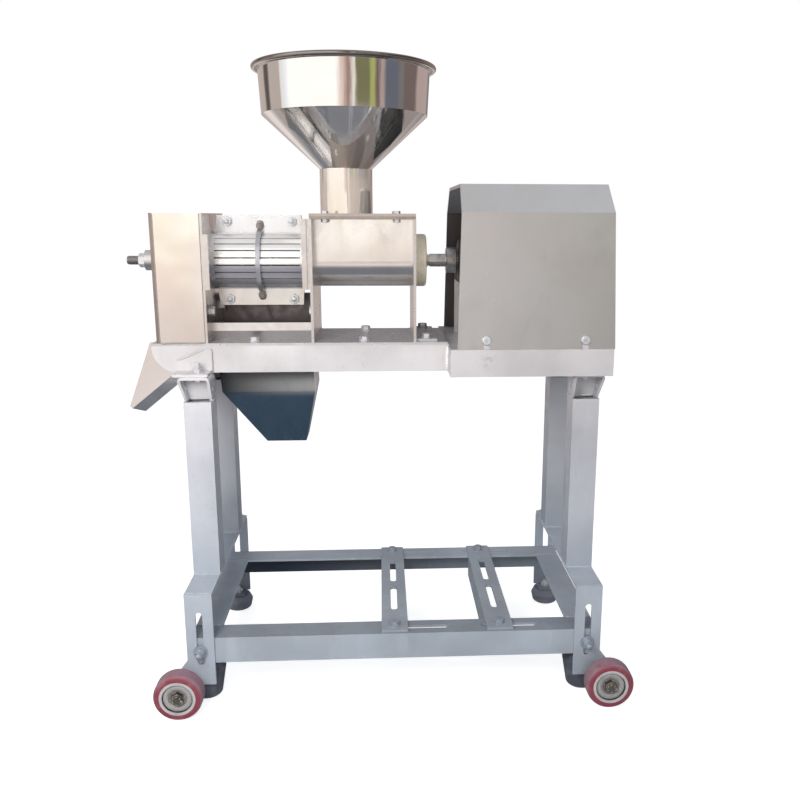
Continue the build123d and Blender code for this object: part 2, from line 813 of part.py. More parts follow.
outlet_x = (outlet_left, outlet_right)
outlet_guard = (outlet_right, outlet_right + guard_width)
keep("outlet_plate", make_upright(outlet_x, plate_top, outlet_radius, outlet_guard, axis_z + guard_rise))
inner_x = (inner_left, inner_right)
feed_guard = (inner_left - guard_bridge - guard_width, inner_left - guard_bridge)
keep("feed_inner_plate", make_upright(inner_x, feed_top, feed_bore_radius, feed_guard, feed_top))

with BuildPart() as feed_outer_plate:
    slab((outer_left, outer_right), plate_y, (base_top, feed_top))
    foot_x = (outer_right, outer_right + plate_foot_length)
    foot_y = (-plate_foot_depth / 2, plate_foot_depth / 2)
    slab(foot_x, foot_y, (base_top, base_top + plate_wall))
    shaft_hole = shaft_radius + shaft_hole_gap
    rod((outer_left, 0, axis_z), (1, 0, 0), shaft_hole, plate_wall, mode=Mode.SUBTRACT)
    for sign in (-1, 1):
        hole = (base_bolt_xs[2], sign * base_bolt_depth / 2, base_top)
        rod(hole, (0, 0, 1), bolt_hole_radius, plate_wall, mode=Mode.SUBTRACT)
keep("feed_outer_plate", feed_outer_plate.part)

# Feed trough, a round-bottomed channel whose lips lie on the feed plates
flange_x = (inner_left, outer_right)
flange_y = (-flange_depth / 2, flange_depth / 2)
flange_bolt_xs = (inner_left + flange_bolt_insets[0], outer_right - flange_bolt_insets[1])


def cut_flange_holes(bottom):
    for x in flange_bolt_xs:
        for sign in (-1, 1):
            hole = (x, sign * flange_bolt_depth / 2, bottom)
            rod(hole, (0, 0, 1), flange_hole_radius, flange_wall, mode=Mode.SUBTRACT)


with BuildPart() as feed_trough:
    inside = trough_radius - sheet_wall
    for radius, mode in ((trough_radius, Mode.ADD), (inside, Mode.SUBTRACT)):
        rod((inner_right, 0, axis_z), (1, 0, 0), radius, feed_bay, mode=mode)
        slab((inner_right, outer_left), (-radius, radius), (axis_z, feed_top), mode=mode)
    slab(flange_x, flange_y, (feed_top, feed_top + flange_wall))
    slab((inner_right, outer_left), (-inside, inside), (feed_top, feed_top + flange_wall), mode=Mode.SUBTRACT)
    cut_flange_holes(feed_top)
keep("feed_trough", feed_trough.part)

# Hopper, a turned sheet bowl on a flange plate
neck_bottom = plate_top
cone_bottom = neck_bottom + neck_height
bowl_bottom = cone_bottom + cone_height
bowl_top = bowl_bottom + bowl_height
with BuildPart() as hopper:
    slab(flange_x, flange_y, (feed_top + flange_wall, plate_top))
    bore_start = (hopper_x, 0, feed_top + flange_wall)
    rod(bore_start, (0, 0, 1), neck_radius - sheet_wall, flange_wall, mode=Mode.SUBTRACT)
    cut_flange_holes(feed_top + flange_wall)
    with BuildSketch(Plane(origin=(hopper_x, 0, 0), x_dir=(1, 0, 0), z_dir=(0, -1, 0))):
        with BuildLine():
            Polyline(
                (neck_radius, neck_bottom),
                (neck_radius, cone_bottom),
                (bowl_radius, bowl_bottom),
                (bowl_top_radius, bowl_top),
                (rim_radius - rim_bead, bowl_top + rim_bead),
                (rim_radius - rim_bead, bowl_top + rim_bead + sheet_wall),
                (bowl_top_radius - sheet_wall, bowl_top + sheet_wall),
                (bowl_radius - sheet_wall, bowl_bottom),
                (neck_radius - sheet_wall, cone_bottom),
                (neck_radius - sheet_wall, neck_bottom),
                close=True,
            )
        make_face()
        with Locations((rim_radius - rim_bead, bowl_top + rim_bead)):
            Circle(rim_bead)
    revolve(axis=Axis((hopper_x, 0, 0), (0, 0, 1)))
keep("hopper", hopper.part)


# Pressing cage, two halves of slotted tube with end rings, a hoop, a rib and bolting strips
cage_bolt_xs = (outlet_right + cage_bolt_insets[0], inner_left - cage_bolt_insets[1])
strip_x = (outlet_right + cage_flange_insets[0], inner_left - cage_flange_insets[1])
bars_x = (outlet_right + cage_ring_widths[0], inner_left - cage_ring_widths[1])


def make_cage_half(sign):
    strip_y = span(sign, cage_split, cage_split + cage_flange_wall)
    hoop_span = (hoop_x - hoop_width / 2, hoop_x + hoop_width / 2)
    with BuildPart() as half:
        ring((outlet_right, 0, axis_z), (1, 0, 0), cage_radius, cage_bore_radius, cage_bay)
        with Locations(Plane(origin=(sum(bars_x) / 2, 0, axis_z), x_dir=(0, 1, 0), z_dir=(1, 0, 0))):
            with PolarLocations(cage_radius, cage_bars, start_angle=180 / cage_bars):
                Box(cage_radius, cage_gap, bars_x[1] - bars_x[0], mode=Mode.SUBTRACT)
        for ring_x, width in zip((outlet_right, bars_x[1]), cage_ring_widths):
            ring((ring_x, 0, axis_z), (1, 0, 0), cage_ring_radius, cage_bore_radius, width)
        ring((hoop_span[0], 0, axis_z), (1, 0, 0), hoop_radius, cage_radius - sheet_wall, hoop_width)
        beyond = span(sign, -hoop_radius, cage_split)
        around = (axis_z - hoop_radius, axis_z + hoop_radius)
        slab((outlet_right, inner_left), beyond, around, mode=Mode.SUBTRACT)
        rib_y = span(sign, cage_radius - sheet_wall, hoop_radius)
        slab((outlet_right, inner_left), rib_y, (axis_z - rib_height / 2, axis_z + rib_height / 2))
        for up in (-1, 1):
            inner_z = axis_z + up * (cage_radius - sheet_wall)
            outer_z = axis_z + up * cage_flange_top
            with BuildSketch(Plane.XZ.offset(-strip_y[1])):
                with BuildLine():
                    Polyline(
                        (strip_x[0], inner_z),
                        (strip_x[1], inner_z),
                        (strip_x[1] - cage_flange_slant / 2, outer_z),
                        (strip_x[0] + cage_flange_slant, outer_z),
                        close=True,
                    )
                make_face()
            extrude(amount=cage_flange_wall)
            end_y = span(sign, cage_split, cage_split + cage_flange_wall + hoop_width)
            end_z = tuple(sorted((inner_z, axis_z + up * hoop_end_height)))
            slab(hoop_span, end_y, end_z)
            for x in cage_bolt_xs:
                hole = (x, strip_y[0], axis_z + up * cage_bolt_height)
                rod(hole, (0, 1, 0), bolt_hole_radius, cage_flange_wall, mode=Mode.SUBTRACT)
    return half.part


keep("front_cage", make_cage_half(-1))
keep("rear_cage", make_cage_half(1))

with BuildPart() as cage_bolts:
    strip_face = cage_split + cage_flange_wall
    for x in cage_bolt_xs:
        for up in (-1, 1):
            seat = (x, strip_face, axis_z + up * cage_bolt_height)
            through_bolt(seat, (0, 1, 0), 2 * strip_face, washer_wall)
keep("cage_bolts", cage_bolts.part)

# Discharge box, a folded sheet over the gap between the end plate and the outlet plate
with BuildPart() as discharge_box:
    box_x = (end_right, outlet_left)
    slab(box_x, plate_y, (base_top, plate_top))
    inside_y = (-press_half + sheet_wall, press_half - sheet_wall)
    slab(box_x, inside_y, (base_top, plate_top - sheet_wall), mode=Mode.SUBTRACT)
keep("discharge_box", discharge_box.part)

# Residue chute, a sloping channel under the discharge box, folded in towards a narrow floor
chute_y = (-chute_half_depth, chute_half_depth)
floor_top = (outlet_left, frame_top - residue_floor_drop)
floor_end = (press_left - residue_floor_reach, frame_top - residue_floor_end_drop)
chute_tip = (press_left - residue_tip_reach, frame_top - residue_tip_drop)
chute_lip = (press_left - residue_lip_reach, frame_top)
slope = atan2(floor_top[1] - floor_end[1], floor_top[0] - floor_end[0])
floor_way = (cos(slope), 0, sin(slope))
floor_plane = Plane(origin=(floor_top[0], 0, floor_top[1]), x_dir=(0, 1, 0), z_dir=floor_way)


def chute_block(wall, outline):
    """Solid chute shape with the outline as its side view, its section drawn in by the given wall."""
    with BuildPart() as block:
        with BuildSketch(Plane.XZ.offset(-chute_half_depth)):
            with BuildLine():
                Polyline(*outline, close=True)
            make_face()
        extrude(amount=2 * chute_half_depth)
        with BuildSketch(floor_plane):
            with BuildLine():
                Polyline(
                    (-residue_floor_half, 0),
                    (residue_floor_half, 0),
                    (chute_half_depth, residue_fold_rise),
                    (chute_half_depth, residue_tip_drop),
                    (-chute_half_depth, residue_tip_drop),
                    (-chute_half_depth, residue_fold_rise),
                    close=True,
                )
            make_face()
            if wall:
                offset(amount=-wall, kind=Kind.INTERSECTION)
        extrude(amount=2 * residue_floor_end_drop, both=True, mode=Mode.INTERSECT)
    return block.part


space_left = chute_tip[0] - residue_tip_reach
space_right = outlet_left - sheet_wall
space_bottom = floor_end[1] - residue_floor_end_drop
chute_space = (
    (space_left, space_bottom),
    (space_right, space_bottom),
    (space_right, frame_top),
    (space_left, frame_top),
)
with BuildPart() as residue_chute:
    add(chute_block(0, (chute_lip, chute_tip, floor_end, floor_top, (outlet_left, frame_top))))
    add(chute_block(sheet_wall, chute_space), mode=Mode.SUBTRACT)
keep("residue_chute", residue_chute.part)

# Milk tray, a folded channel that leads the milk to the opening under the cage, high at the back
with BuildPart() as milk_tray:
    wall_fold = base_top + tray_fold
    for sign, height, lean in ((-1, tray_lip, -sheet_wall), (1, tray_guard, tray_guard_lean)):
        wall_top = base_top + height
        lip_y = tray_half_depth + tray_bulge + lean
        with BuildSketch(Plane.YZ.offset(outlet_right)):
            with BuildLine():
                Polyline(
                    (sign * tray_half_depth, base_top),
                    (sign * (tray_half_depth + tray_bulge), wall_fold),
                    (sign * lip_y, wall_top),
                    (sign * (lip_y - sheet_wall), wall_top),
                    (sign * (tray_half_depth + tray_bulge - sheet_wall), wall_fold),
                    (sign * (tray_half_depth - sheet_wall), base_top + sheet_wall),
                    (sign * (tray_half_depth - sheet_wall), base_top),
                    close=True,
                )
            make_face()
        extrude(amount=cage_bay)
    slab((outlet_right, inner_left), (-tray_half_depth, tray_half_depth), (base_top, base_top + sheet_wall))
    opening_x = (outlet_right + base_hole_margin, inner_left - base_hole_margin)
    slab(opening_x, opening_y, (base_top, base_top + sheet_wall), mode=Mode.SUBTRACT)
keep("milk_tray", milk_tray.part)

# Milk chute, a sheet funnel under the cage
milk_top_x = (outlet_right + milk_chute_inset, inner_left - milk_chute_inset)
milk_spout_x = (outlet_right + milk_spout_inset, outlet_right + milk_spout_inset + milk_spout_width)
milk_mouth_x = (milk_top_x[0] + milk_mouth_shift[0], milk_top_x[1] + milk_mouth_shift[1])
milk_mouth_y = (-chute_half_depth - milk_mouth_bulge, chute_half_depth)
milk_spout_y = (-chute_half_depth, milk_spout_back)
milk_levels = (
    (frame_top, milk_top_x, chute_y),
    (frame_top - milk_mouth_drop, milk_mouth_x, milk_mouth_y),
    (frame_top - milk_spout_drop, milk_spout_x, milk_spout_y),
)


def milk_section(level, x_span, y_span, wall):
    """Upright section of the funnel at one level, drawn in by the given wall."""
    with BuildSketch(Plane.XY.offset(level)) as section:
        with Locations((sum(x_span) / 2, sum(y_span) / 2)):
            Rectangle(x_span[1] - x_span[0] - 2 * wall, y_span[1] - y_span[0] - 2 * wall)
    return section.sketch


with BuildPart() as milk_chute:
    for wall, mode in ((0, Mode.ADD), (sheet_wall, Mode.SUBTRACT)):
        sections = [milk_section(*level, wall) for level in milk_levels]
        loft(sections[:2], ruled=True, mode=mode)
        loft(sections[1:], ruled=True, mode=mode)
keep("milk_chute", milk_chute.part)

# Choke cone, adjusting screw and lock nut
choke_tip = outlet_left + choke_reach
choke_base = choke_tip - choke_length
choke_back = choke_base - choke_flange
screw_start = end_left - boss_length - lock_nut_height - adjuster_tail
screw_end = choke_base + slide_gap

with BuildPart() as choke_cone:
    with Locations(Plane(origin=(choke_base, 0, axis_z), z_dir=(1, 0, 0))):
        Cone(choke_base_radius, choke_tip_radius, choke_length, align=(Align.CENTER, Align.CENTER, Align.MIN))
    rod((choke_back, 0, axis_z), (1, 0, 0), choke_base_radius, choke_flange)
    socket = adjuster_radius + thread_fit
    rod((choke_back, 0, axis_z), (1, 0, 0), socket, choke_flange + 2 * slide_gap, mode=Mode.SUBTRACT)
keep("choke_cone", choke_cone.part)

with BuildPart() as adjuster_screw:
    rod((screw_start, 0, axis_z), (1, 0, 0), adjuster_radius, screw_end - screw_start)
    chamfer(adjuster_screw.edges().filter_by(GeomType.CIRCLE).sort_by(Axis.X)[0], adjuster_radius / 3)
keep("adjuster_screw", adjuster_screw.part)

with BuildPart() as lock_nut:
    nut_start = (end_left - boss_length, 0, axis_z)
    hexagon(nut_start, (-1, 0, 0), lock_nut_flats, lock_nut_height)
    rod(nut_start, (-1, 0, 0), adjuster_radius + thread_fit, lock_nut_height, mode=Mode.SUBTRACT)
keep("lock_nut", lock_nut.part)

# Press screw, a core with one helical flight
auger_left = choke_tip + choke_reach + auger_end_gap
auger_right = outer_left - auger_end_gap
flight_length = auger_right - auger_left - auger_flight_wall
flight_centre = Vector(auger_left + auger_flight_wall / 2, 0, axis_z)
with BuildPart() as auger:
    with BuildLine() as flight_path:
        Helix(auger_pitch, flight_length, auger_core_radius, center=flight_centre, direction=(1, 0, 0))
    flight_start = flight_path.line @ 0
    outward = flight_start - flight_centre
    with BuildSketch(Plane(origin=flight_start, x_dir=outward, z_dir=flight_path.line % 0)):
        flight_height = auger_radius - auger_core_radius
        with Locations(((flight_height - auger_root) / 2, 0)):
            Rectangle(flight_height + auger_root, auger_flight_wall)
    sweep(path=flight_path.line, is_frenet=True)
    rod((auger_left, 0, axis_z), (1, 0, 0), auger_core_radius, auger_right - auger_left)
keep("auger", auger.part)

# Shaft, with a groove beside the bush
shaft_end = drive_right - shaft_end_gap - cover_right_lean
bush_right = outer_right + bush_length
with BuildPart() as drive_shaft:
    rod((auger_right, 0, axis_z), (1, 0, 0), shaft_radius, shaft_end - auger_right)
    chamfer(drive_shaft.edges().filter_by(GeomType.CIRCLE).sort_by(Axis.X)[-1], shaft_groove)
    groove_x = (bush_right + 2 * shaft_groove, 0, axis_z)
    with BuildSketch(Plane(origin=groove_x, z_dir=(1, 0, 0))):
        Circle(shaft_radius)
        Circle(shaft_radius - shaft_groove, mode=Mode.SUBTRACT)
    extrude(amount=2 * shaft_groove, mode=Mode.SUBTRACT)
keep("drive_shaft", drive_shaft.part)

running_bore = shaft_radius + shaft_fit
with BuildPart() as nylon_bush:
    rod((outer_right, 0, axis_z), (1, 0, 0), bush_radius, bush_length)
    fillet(nylon_bush.edges().filter_by(GeomType.CIRCLE).sort_by(Axis.X)[-1], bush_corner)
    rod((outer_right, 0, axis_z), (1, 0, 0), running_bore, bush_length, mode=Mode.SUBTRACT)
keep("nylon_bush", nylon_bush.part)

with BuildPart() as shaft_collar:
    ring((drive_left + collar_start, 0, axis_z), (1, 0, 0), collar_radius, running_bore, collar_length)
    chamfer(shaft_collar.edges().filter_by(GeomType.CIRCLE).group_by(SortBy.RADIUS)[-1], collar_chamfer)
keep("shaft_collar", shaft_collar.part)

# Bearing blocks on their stands
with BuildPart() as bearing_blocks:
    for x in (left_block_x, right_block_x):
        block_x = (x - block_width / 2, x + block_width / 2)
        slab(block_x, (-block_depth / 2, block_depth / 2), (stand_top, stand_top + block_base))
        rod((block_x[0], 0, axis_z), (1, 0, 0), block_radius, block_width)
        rod((block_x[0], 0, axis_z), (1, 0, 0), running_bore, block_width, mode=Mode.SUBTRACT)
        for sign in (-1, 1):
            hole = (x, sign * block_bolt_depth / 2, stand_top)
            rod(hole, (0, 0, 1), bolt_hole_radius, block_base, mode=Mode.SUBTRACT)
keep("bearing_blocks", bearing_blocks.part)

# Belt pulley with two grooves
with BuildPart() as v_pulley:
    groove_pitch = pulley_width / 2
    rim_inner = pulley_radius - 2 * pulley_groove_depth
    pulley_left = pulley_x - pulley_width / 2
    rod((pulley_left, 0, axis_z), (1, 0, 0), pulley_radius, pulley_width)
    with BuildSketch(Plane(origin=(0, 0, axis_z), x_dir=(1, 0, 0), z_dir=(0, -1, 0))):
        for step in (-1, 1):
            middle = pulley_x + step * groove_pitch / 2
            top_half = groove_pitch / 2 - pulley_land
            floor_half = pulley_groove_floor / 2
            with BuildLine():
                Polyline(
                    (middle - top_half, pulley_radius),
                    (middle - floor_half, pulley_radius - pulley_groove_depth),
                    (middle + floor_half, pulley_radius - pulley_groove_depth),
                    (middle + top_half, pulley_radius),
                    close=True,
                )
            make_face()
    revolve(axis=Axis((0, 0, axis_z), (1, 0, 0)), mode=Mode.SUBTRACT)
    for face_x, out in ((pulley_left, 1), (pulley_left + pulley_width, -1)):
        dish = (pulley_width - pulley_web) / 2
        with BuildSketch(Plane(origin=(face_x, 0, axis_z), z_dir=(out, 0, 0))):
            Circle(rim_inner)
            Circle(pulley_hub_radius, mode=Mode.SUBTRACT)
        extrude(amount=dish, mode=Mode.SUBTRACT)
    rod((pulley_left, 0, axis_z), (1, 0, 0), running_bore, pulley_width, mode=Mode.SUBTRACT)
keep("v_pulley", v_pulley.part)

# Drive cover, a sheet hood that is open below and at the shaft's end
cover_right = drive_right + cover_right_overhang
cover_ridge = frame_top + cover_wall_height + cover_chamfer


def hood(wall, left, right):
    """Solid hood shape, drawn in by the given wall and leaning in at both ends."""
    half = -cover_front - wall
    ridge = cover_ridge - wall
    shoulder = frame_top + cover_wall_height - wall * tan(radians(cover_chamfer_angle / 2))
    ridge_half = half - (ridge - shoulder) / tan(radians(cover_chamfer_angle))
    with BuildPart() as shape:
        with BuildSketch(Plane.YZ.offset(left)):
            with BuildLine():
                Polyline(
                    (-half, frame_top),
                    (-half, shoulder),
                    (-ridge_half, ridge),
                    (ridge_half, ridge),
                    (half, shoulder),
                    (half, frame_top),
                    close=True,
                )
            make_face()
        extrude(amount=right - left)
        with BuildSketch(Plane.XZ.offset(-half)):
            with BuildLine():
                Polyline((left, frame_top), (left + cover_left_lean, ridge), (left, ridge), close=True)
            make_face()
            with BuildLine():
                Polyline((right, frame_top), (right - cover_right_lean, ridge), (right, ridge), close=True)
            make_face()
        extrude(amount=2 * half, mode=Mode.SUBTRACT)
    return shape.part


outer_hood = hood(0, cover_left, cover_right)
inner_hood = hood(cover_wall, cover_left + cover_wall, cover_right - cover_wall)
mouth_right = cover_left + cover_right_lean + 2 * cover_lip
mouth_hood = hood(cover_lip, cover_left - cover_lip, mouth_right)
with BuildPart() as drive_cover:
    add(outer_hood)
    add(inner_hood, mode=Mode.SUBTRACT)
    add(mouth_hood, mode=Mode.SUBTRACT)
    for x in cover_screw_xs:
        slot_x = (x - cover_slot_width / 2, x + cover_slot_width / 2)
        slab(slot_x, (-drive_half, drive_half), (frame_top, cover_screw_z), mode=Mode.SUBTRACT)
        rod((x, -drive_half, cover_screw_z), (0, 1, 0), cover_slot_width / 2, drive_depth, mode=Mode.SUBTRACT)
keep("drive_cover", drive_cover.part)

with BuildPart() as cover_screws:
    for x in cover_screw_xs:
        for sign in (-1, 1):
            face = -cover_front + cover_tab_gap / 2
            inward = (0, -sign, 0)
            depth = cover_wall + 2 * cover_tab_gap + cover_tab_wall + bolt_tail
            rod((x, sign * face, cover_screw_z), inward, screw_radius, depth)
            with BuildSketch(Plane(origin=(x, sign * face, cover_screw_z), z_dir=(0, sign, 0))):
                Circle(screw_head_radius)
            extrude(amount=screw_head_height)
    crowns = cover_screws.edges().filter_by(GeomType.CIRCLE).group_by(Axis.Y)
    fillet(crowns[0] + crowns[-1], screw_head_height / 2)
    for x in cover_screw_xs:
        for sign in (-1, 1):
            crown = -cover_front + cover_tab_gap / 2 + screw_head_height
            recess = span(sign, crown - screw_head_height / 2, crown)
            cross = (screw_cross_length / 2, screw_cross_width / 2)
            for half_x, half_z in (cross, cross[::-1]):
                cross_z = (cover_screw_z - half_z, cover_screw_z + half_z)
                slab((x - half_x, x + half_x), recess, cross_z, mode=Mode.SUBTRACT)
keep("cover_screws", cover_screws.part)

# Frame bolts: leg bolts, base bolts, hopper bolts, bearing bolts, plate bolts and foot studs
with BuildPart() as frame_bolts:
    for x in (-leg_centre, leg_centre):
        for front in leg_fronts:
            seat = (x, front + leg_bolt_back, frame_bottom - bracket_wall)
            through_bolt(seat, (0, 0, -1), bracket_wall + ear_wall, tail=leg_bolt_tail)
    for x in base_bolt_xs:
        stack = plate_wall if x > outer_right else 0
        for sign in (-1, 1):
            seat = (x, sign * base_bolt_depth / 2, base_top + stack)
            through_bolt(seat, (0, 0, 1), base_wall + angle_wall + stack, washer_wall)
    for x in flange_bolt_xs:
        for sign in (-1, 1):
            seat = (x, sign * flange_bolt_depth / 2, plate_top)
            through_bolt(seat, (0, 0, 1), 2 * flange_wall, scale=small_bolt, tail=flange_bolt_tail)
    for x in (left_block_x, right_block_x):
        for sign in (-1, 1):
            seat = (x, sign * block_bolt_depth / 2, stand_top + block_base)
            through_bolt(seat, (0, 0, 1), block_base + stand_wall, washer_wall)
    for seat_x, out in ((outlet_right, 1), (inner_left, -1)):
        for sign in (-1, 1):
            seat = (seat_x, sign * side_bolt_y, side_bolt_z)
            rod(seat, (-out, 0, 0), bolt_radius, plate_wall)
            hexagon(seat, (out, 0, 0), bolt_flats, bolt_head)
    for y, height in ((front_foot_y, front_foot_height), (rear_foot_y, rear_foot_height)):
        for x in (-leg_centre, leg_centre):
            rod((x, y, height), (0, 0, 1), bolt_radius, foot_tab_wall + bolt_nut + bolt_tail)
            hexagon((x, y, height + foot_tab_wall), (0, 0, 1), bolt_flats, bolt_nut)
keep("frame_bolts", frame_bolts.part)

# The whole machine is centred over the origin, standing on it, and written piece by piece
whole = Compound(children=[piece.moved(Location()) for piece in pieces.values()]).bounding_box()
to_origin = Vector(-whole.center().X, -whole.center().Y, -whole.min.Z)
print("moved by", to_origin)
os.makedirs("parts", exist_ok=True)
for name, piece in pieces.items():
    placed = piece.moved(Location(to_origin))
    placed.label = name
    export_step(placed, f"parts/{name}.step")
print(len(pieces), "pieces, size", whole.size)
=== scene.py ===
# %% [markdown]
# # Coconut milk extractor
# The machine is a screw press on a wheeled stand. Its steel parts come ready made from the frame,
# in metres, with +Z up and the front towards -Y. This lesson gives every part its finish, adds the
# small work that a welder and a fitter leave behind, and sets up the light and the camera.

import json
import random
from math import cos, pi, sin, tau

import bmesh
import bpy
from mathutils import Matrix, Vector


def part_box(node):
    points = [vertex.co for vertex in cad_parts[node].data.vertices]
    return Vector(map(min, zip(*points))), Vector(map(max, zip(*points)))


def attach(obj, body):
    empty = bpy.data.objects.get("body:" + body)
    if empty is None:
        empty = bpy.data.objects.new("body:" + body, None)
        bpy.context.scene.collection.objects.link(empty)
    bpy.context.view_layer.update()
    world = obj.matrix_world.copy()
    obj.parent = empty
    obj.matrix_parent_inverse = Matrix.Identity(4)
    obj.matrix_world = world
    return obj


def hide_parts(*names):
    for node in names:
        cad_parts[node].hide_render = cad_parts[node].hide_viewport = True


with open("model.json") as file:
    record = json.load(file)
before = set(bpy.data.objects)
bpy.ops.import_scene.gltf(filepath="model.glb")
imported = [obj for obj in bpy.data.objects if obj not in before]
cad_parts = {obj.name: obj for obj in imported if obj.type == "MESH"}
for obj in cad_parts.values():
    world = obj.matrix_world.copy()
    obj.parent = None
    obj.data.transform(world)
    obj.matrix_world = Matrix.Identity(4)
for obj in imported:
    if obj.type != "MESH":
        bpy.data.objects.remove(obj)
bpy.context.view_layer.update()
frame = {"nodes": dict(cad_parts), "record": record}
nodes = frame["nodes"]

# %% [markdown]
# ## One place to measure from
# A fitter measures along the press screw from the middle of the stand, so the lesson does too. The
# hopper stands 69.5 mm left of that middle and over the screw, which gives the point on the floor
# that all later places are counted from. The helpers turn millimetres from there into metres: for a
# whole place, or only for how far across, how deep or how high it is.

# %% Measuring point
hopper_from_middle = 0.0695
hopper_low, hopper_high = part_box("hopper")
hopper_axis = (Vector(hopper_low) + Vector(hopper_high)) / 2
home = Vector((hopper_axis.x + hopper_from_middle, hopper_axis.y, 0))


def at(x, y, z):
    """Place in metres, from millimetres counted from the measuring point."""
    return home + Vector((x, y, z)) / 1000


def across(x):
    """How far right a place is, in metres."""
    return at(x, 0, 0).x


def depth(y):
    """How far back a place is, in metres."""
    return at(0, y, 0).y


def level(z):
    """How high a place is, in metres."""
    return at(0, 0, z).z


print("measuring from", tuple(round(v, 4) for v in home))

# %% [markdown]
# ## The camera
# The camera stands a little more than a metre in front of the machine and looks slightly down.
# Its direction is built from a yaw, a pitch and a roll, because a photographer thinks in those.
# A small lens shift moves the picture sideways, as when a photo has been cropped.

# %% Camera
camera_place = at(-17.75, -1330.7, 712.4)
camera_yaw, camera_pitch, camera_roll = 0.056, 0.2179, -0.0027
ahead = Vector((
    sin(camera_yaw) * cos(camera_pitch),
    cos(camera_yaw) * cos(camera_pitch),
    -sin(camera_pitch),
))
level_right = Vector((cos(camera_yaw), -sin(camera_yaw), 0))
level_down = ahead.cross(level_right)
right = cos(camera_roll) * level_right + sin(camera_roll) * level_down
down = cos(camera_roll) * level_down - sin(camera_roll) * level_right
facing = Matrix((right, -down, -ahead)).transposed().to_4x4()

camera = bpy.data.objects.new("camera", bpy.data.cameras.new("camera"))
camera.data.lens = 37.71
camera.data.sensor_width = 36
camera.data.shift_x = -0.0350
camera.data.shift_y = 0.0022
camera.matrix_world = Matrix.Translation(camera_place) @ facing
bpy.context.scene.collection.objects.link(camera)
bpy.context.scene.camera = camera
print("camera at", tuple(round(v, 3) for v in camera_place))

# %% [markdown]
# ## Mixing a finish
# A finish is a material made of nodes. The class below keeps one material's node tree at hand and
# has a short method for each thing a finisher does: spread a noise, cut it to a range, mix two
# colours by a mask, and raise a surface. Every pattern is placed by the object's own coordinates in
# metres, so a scratch has the same size on every part and moves with it.

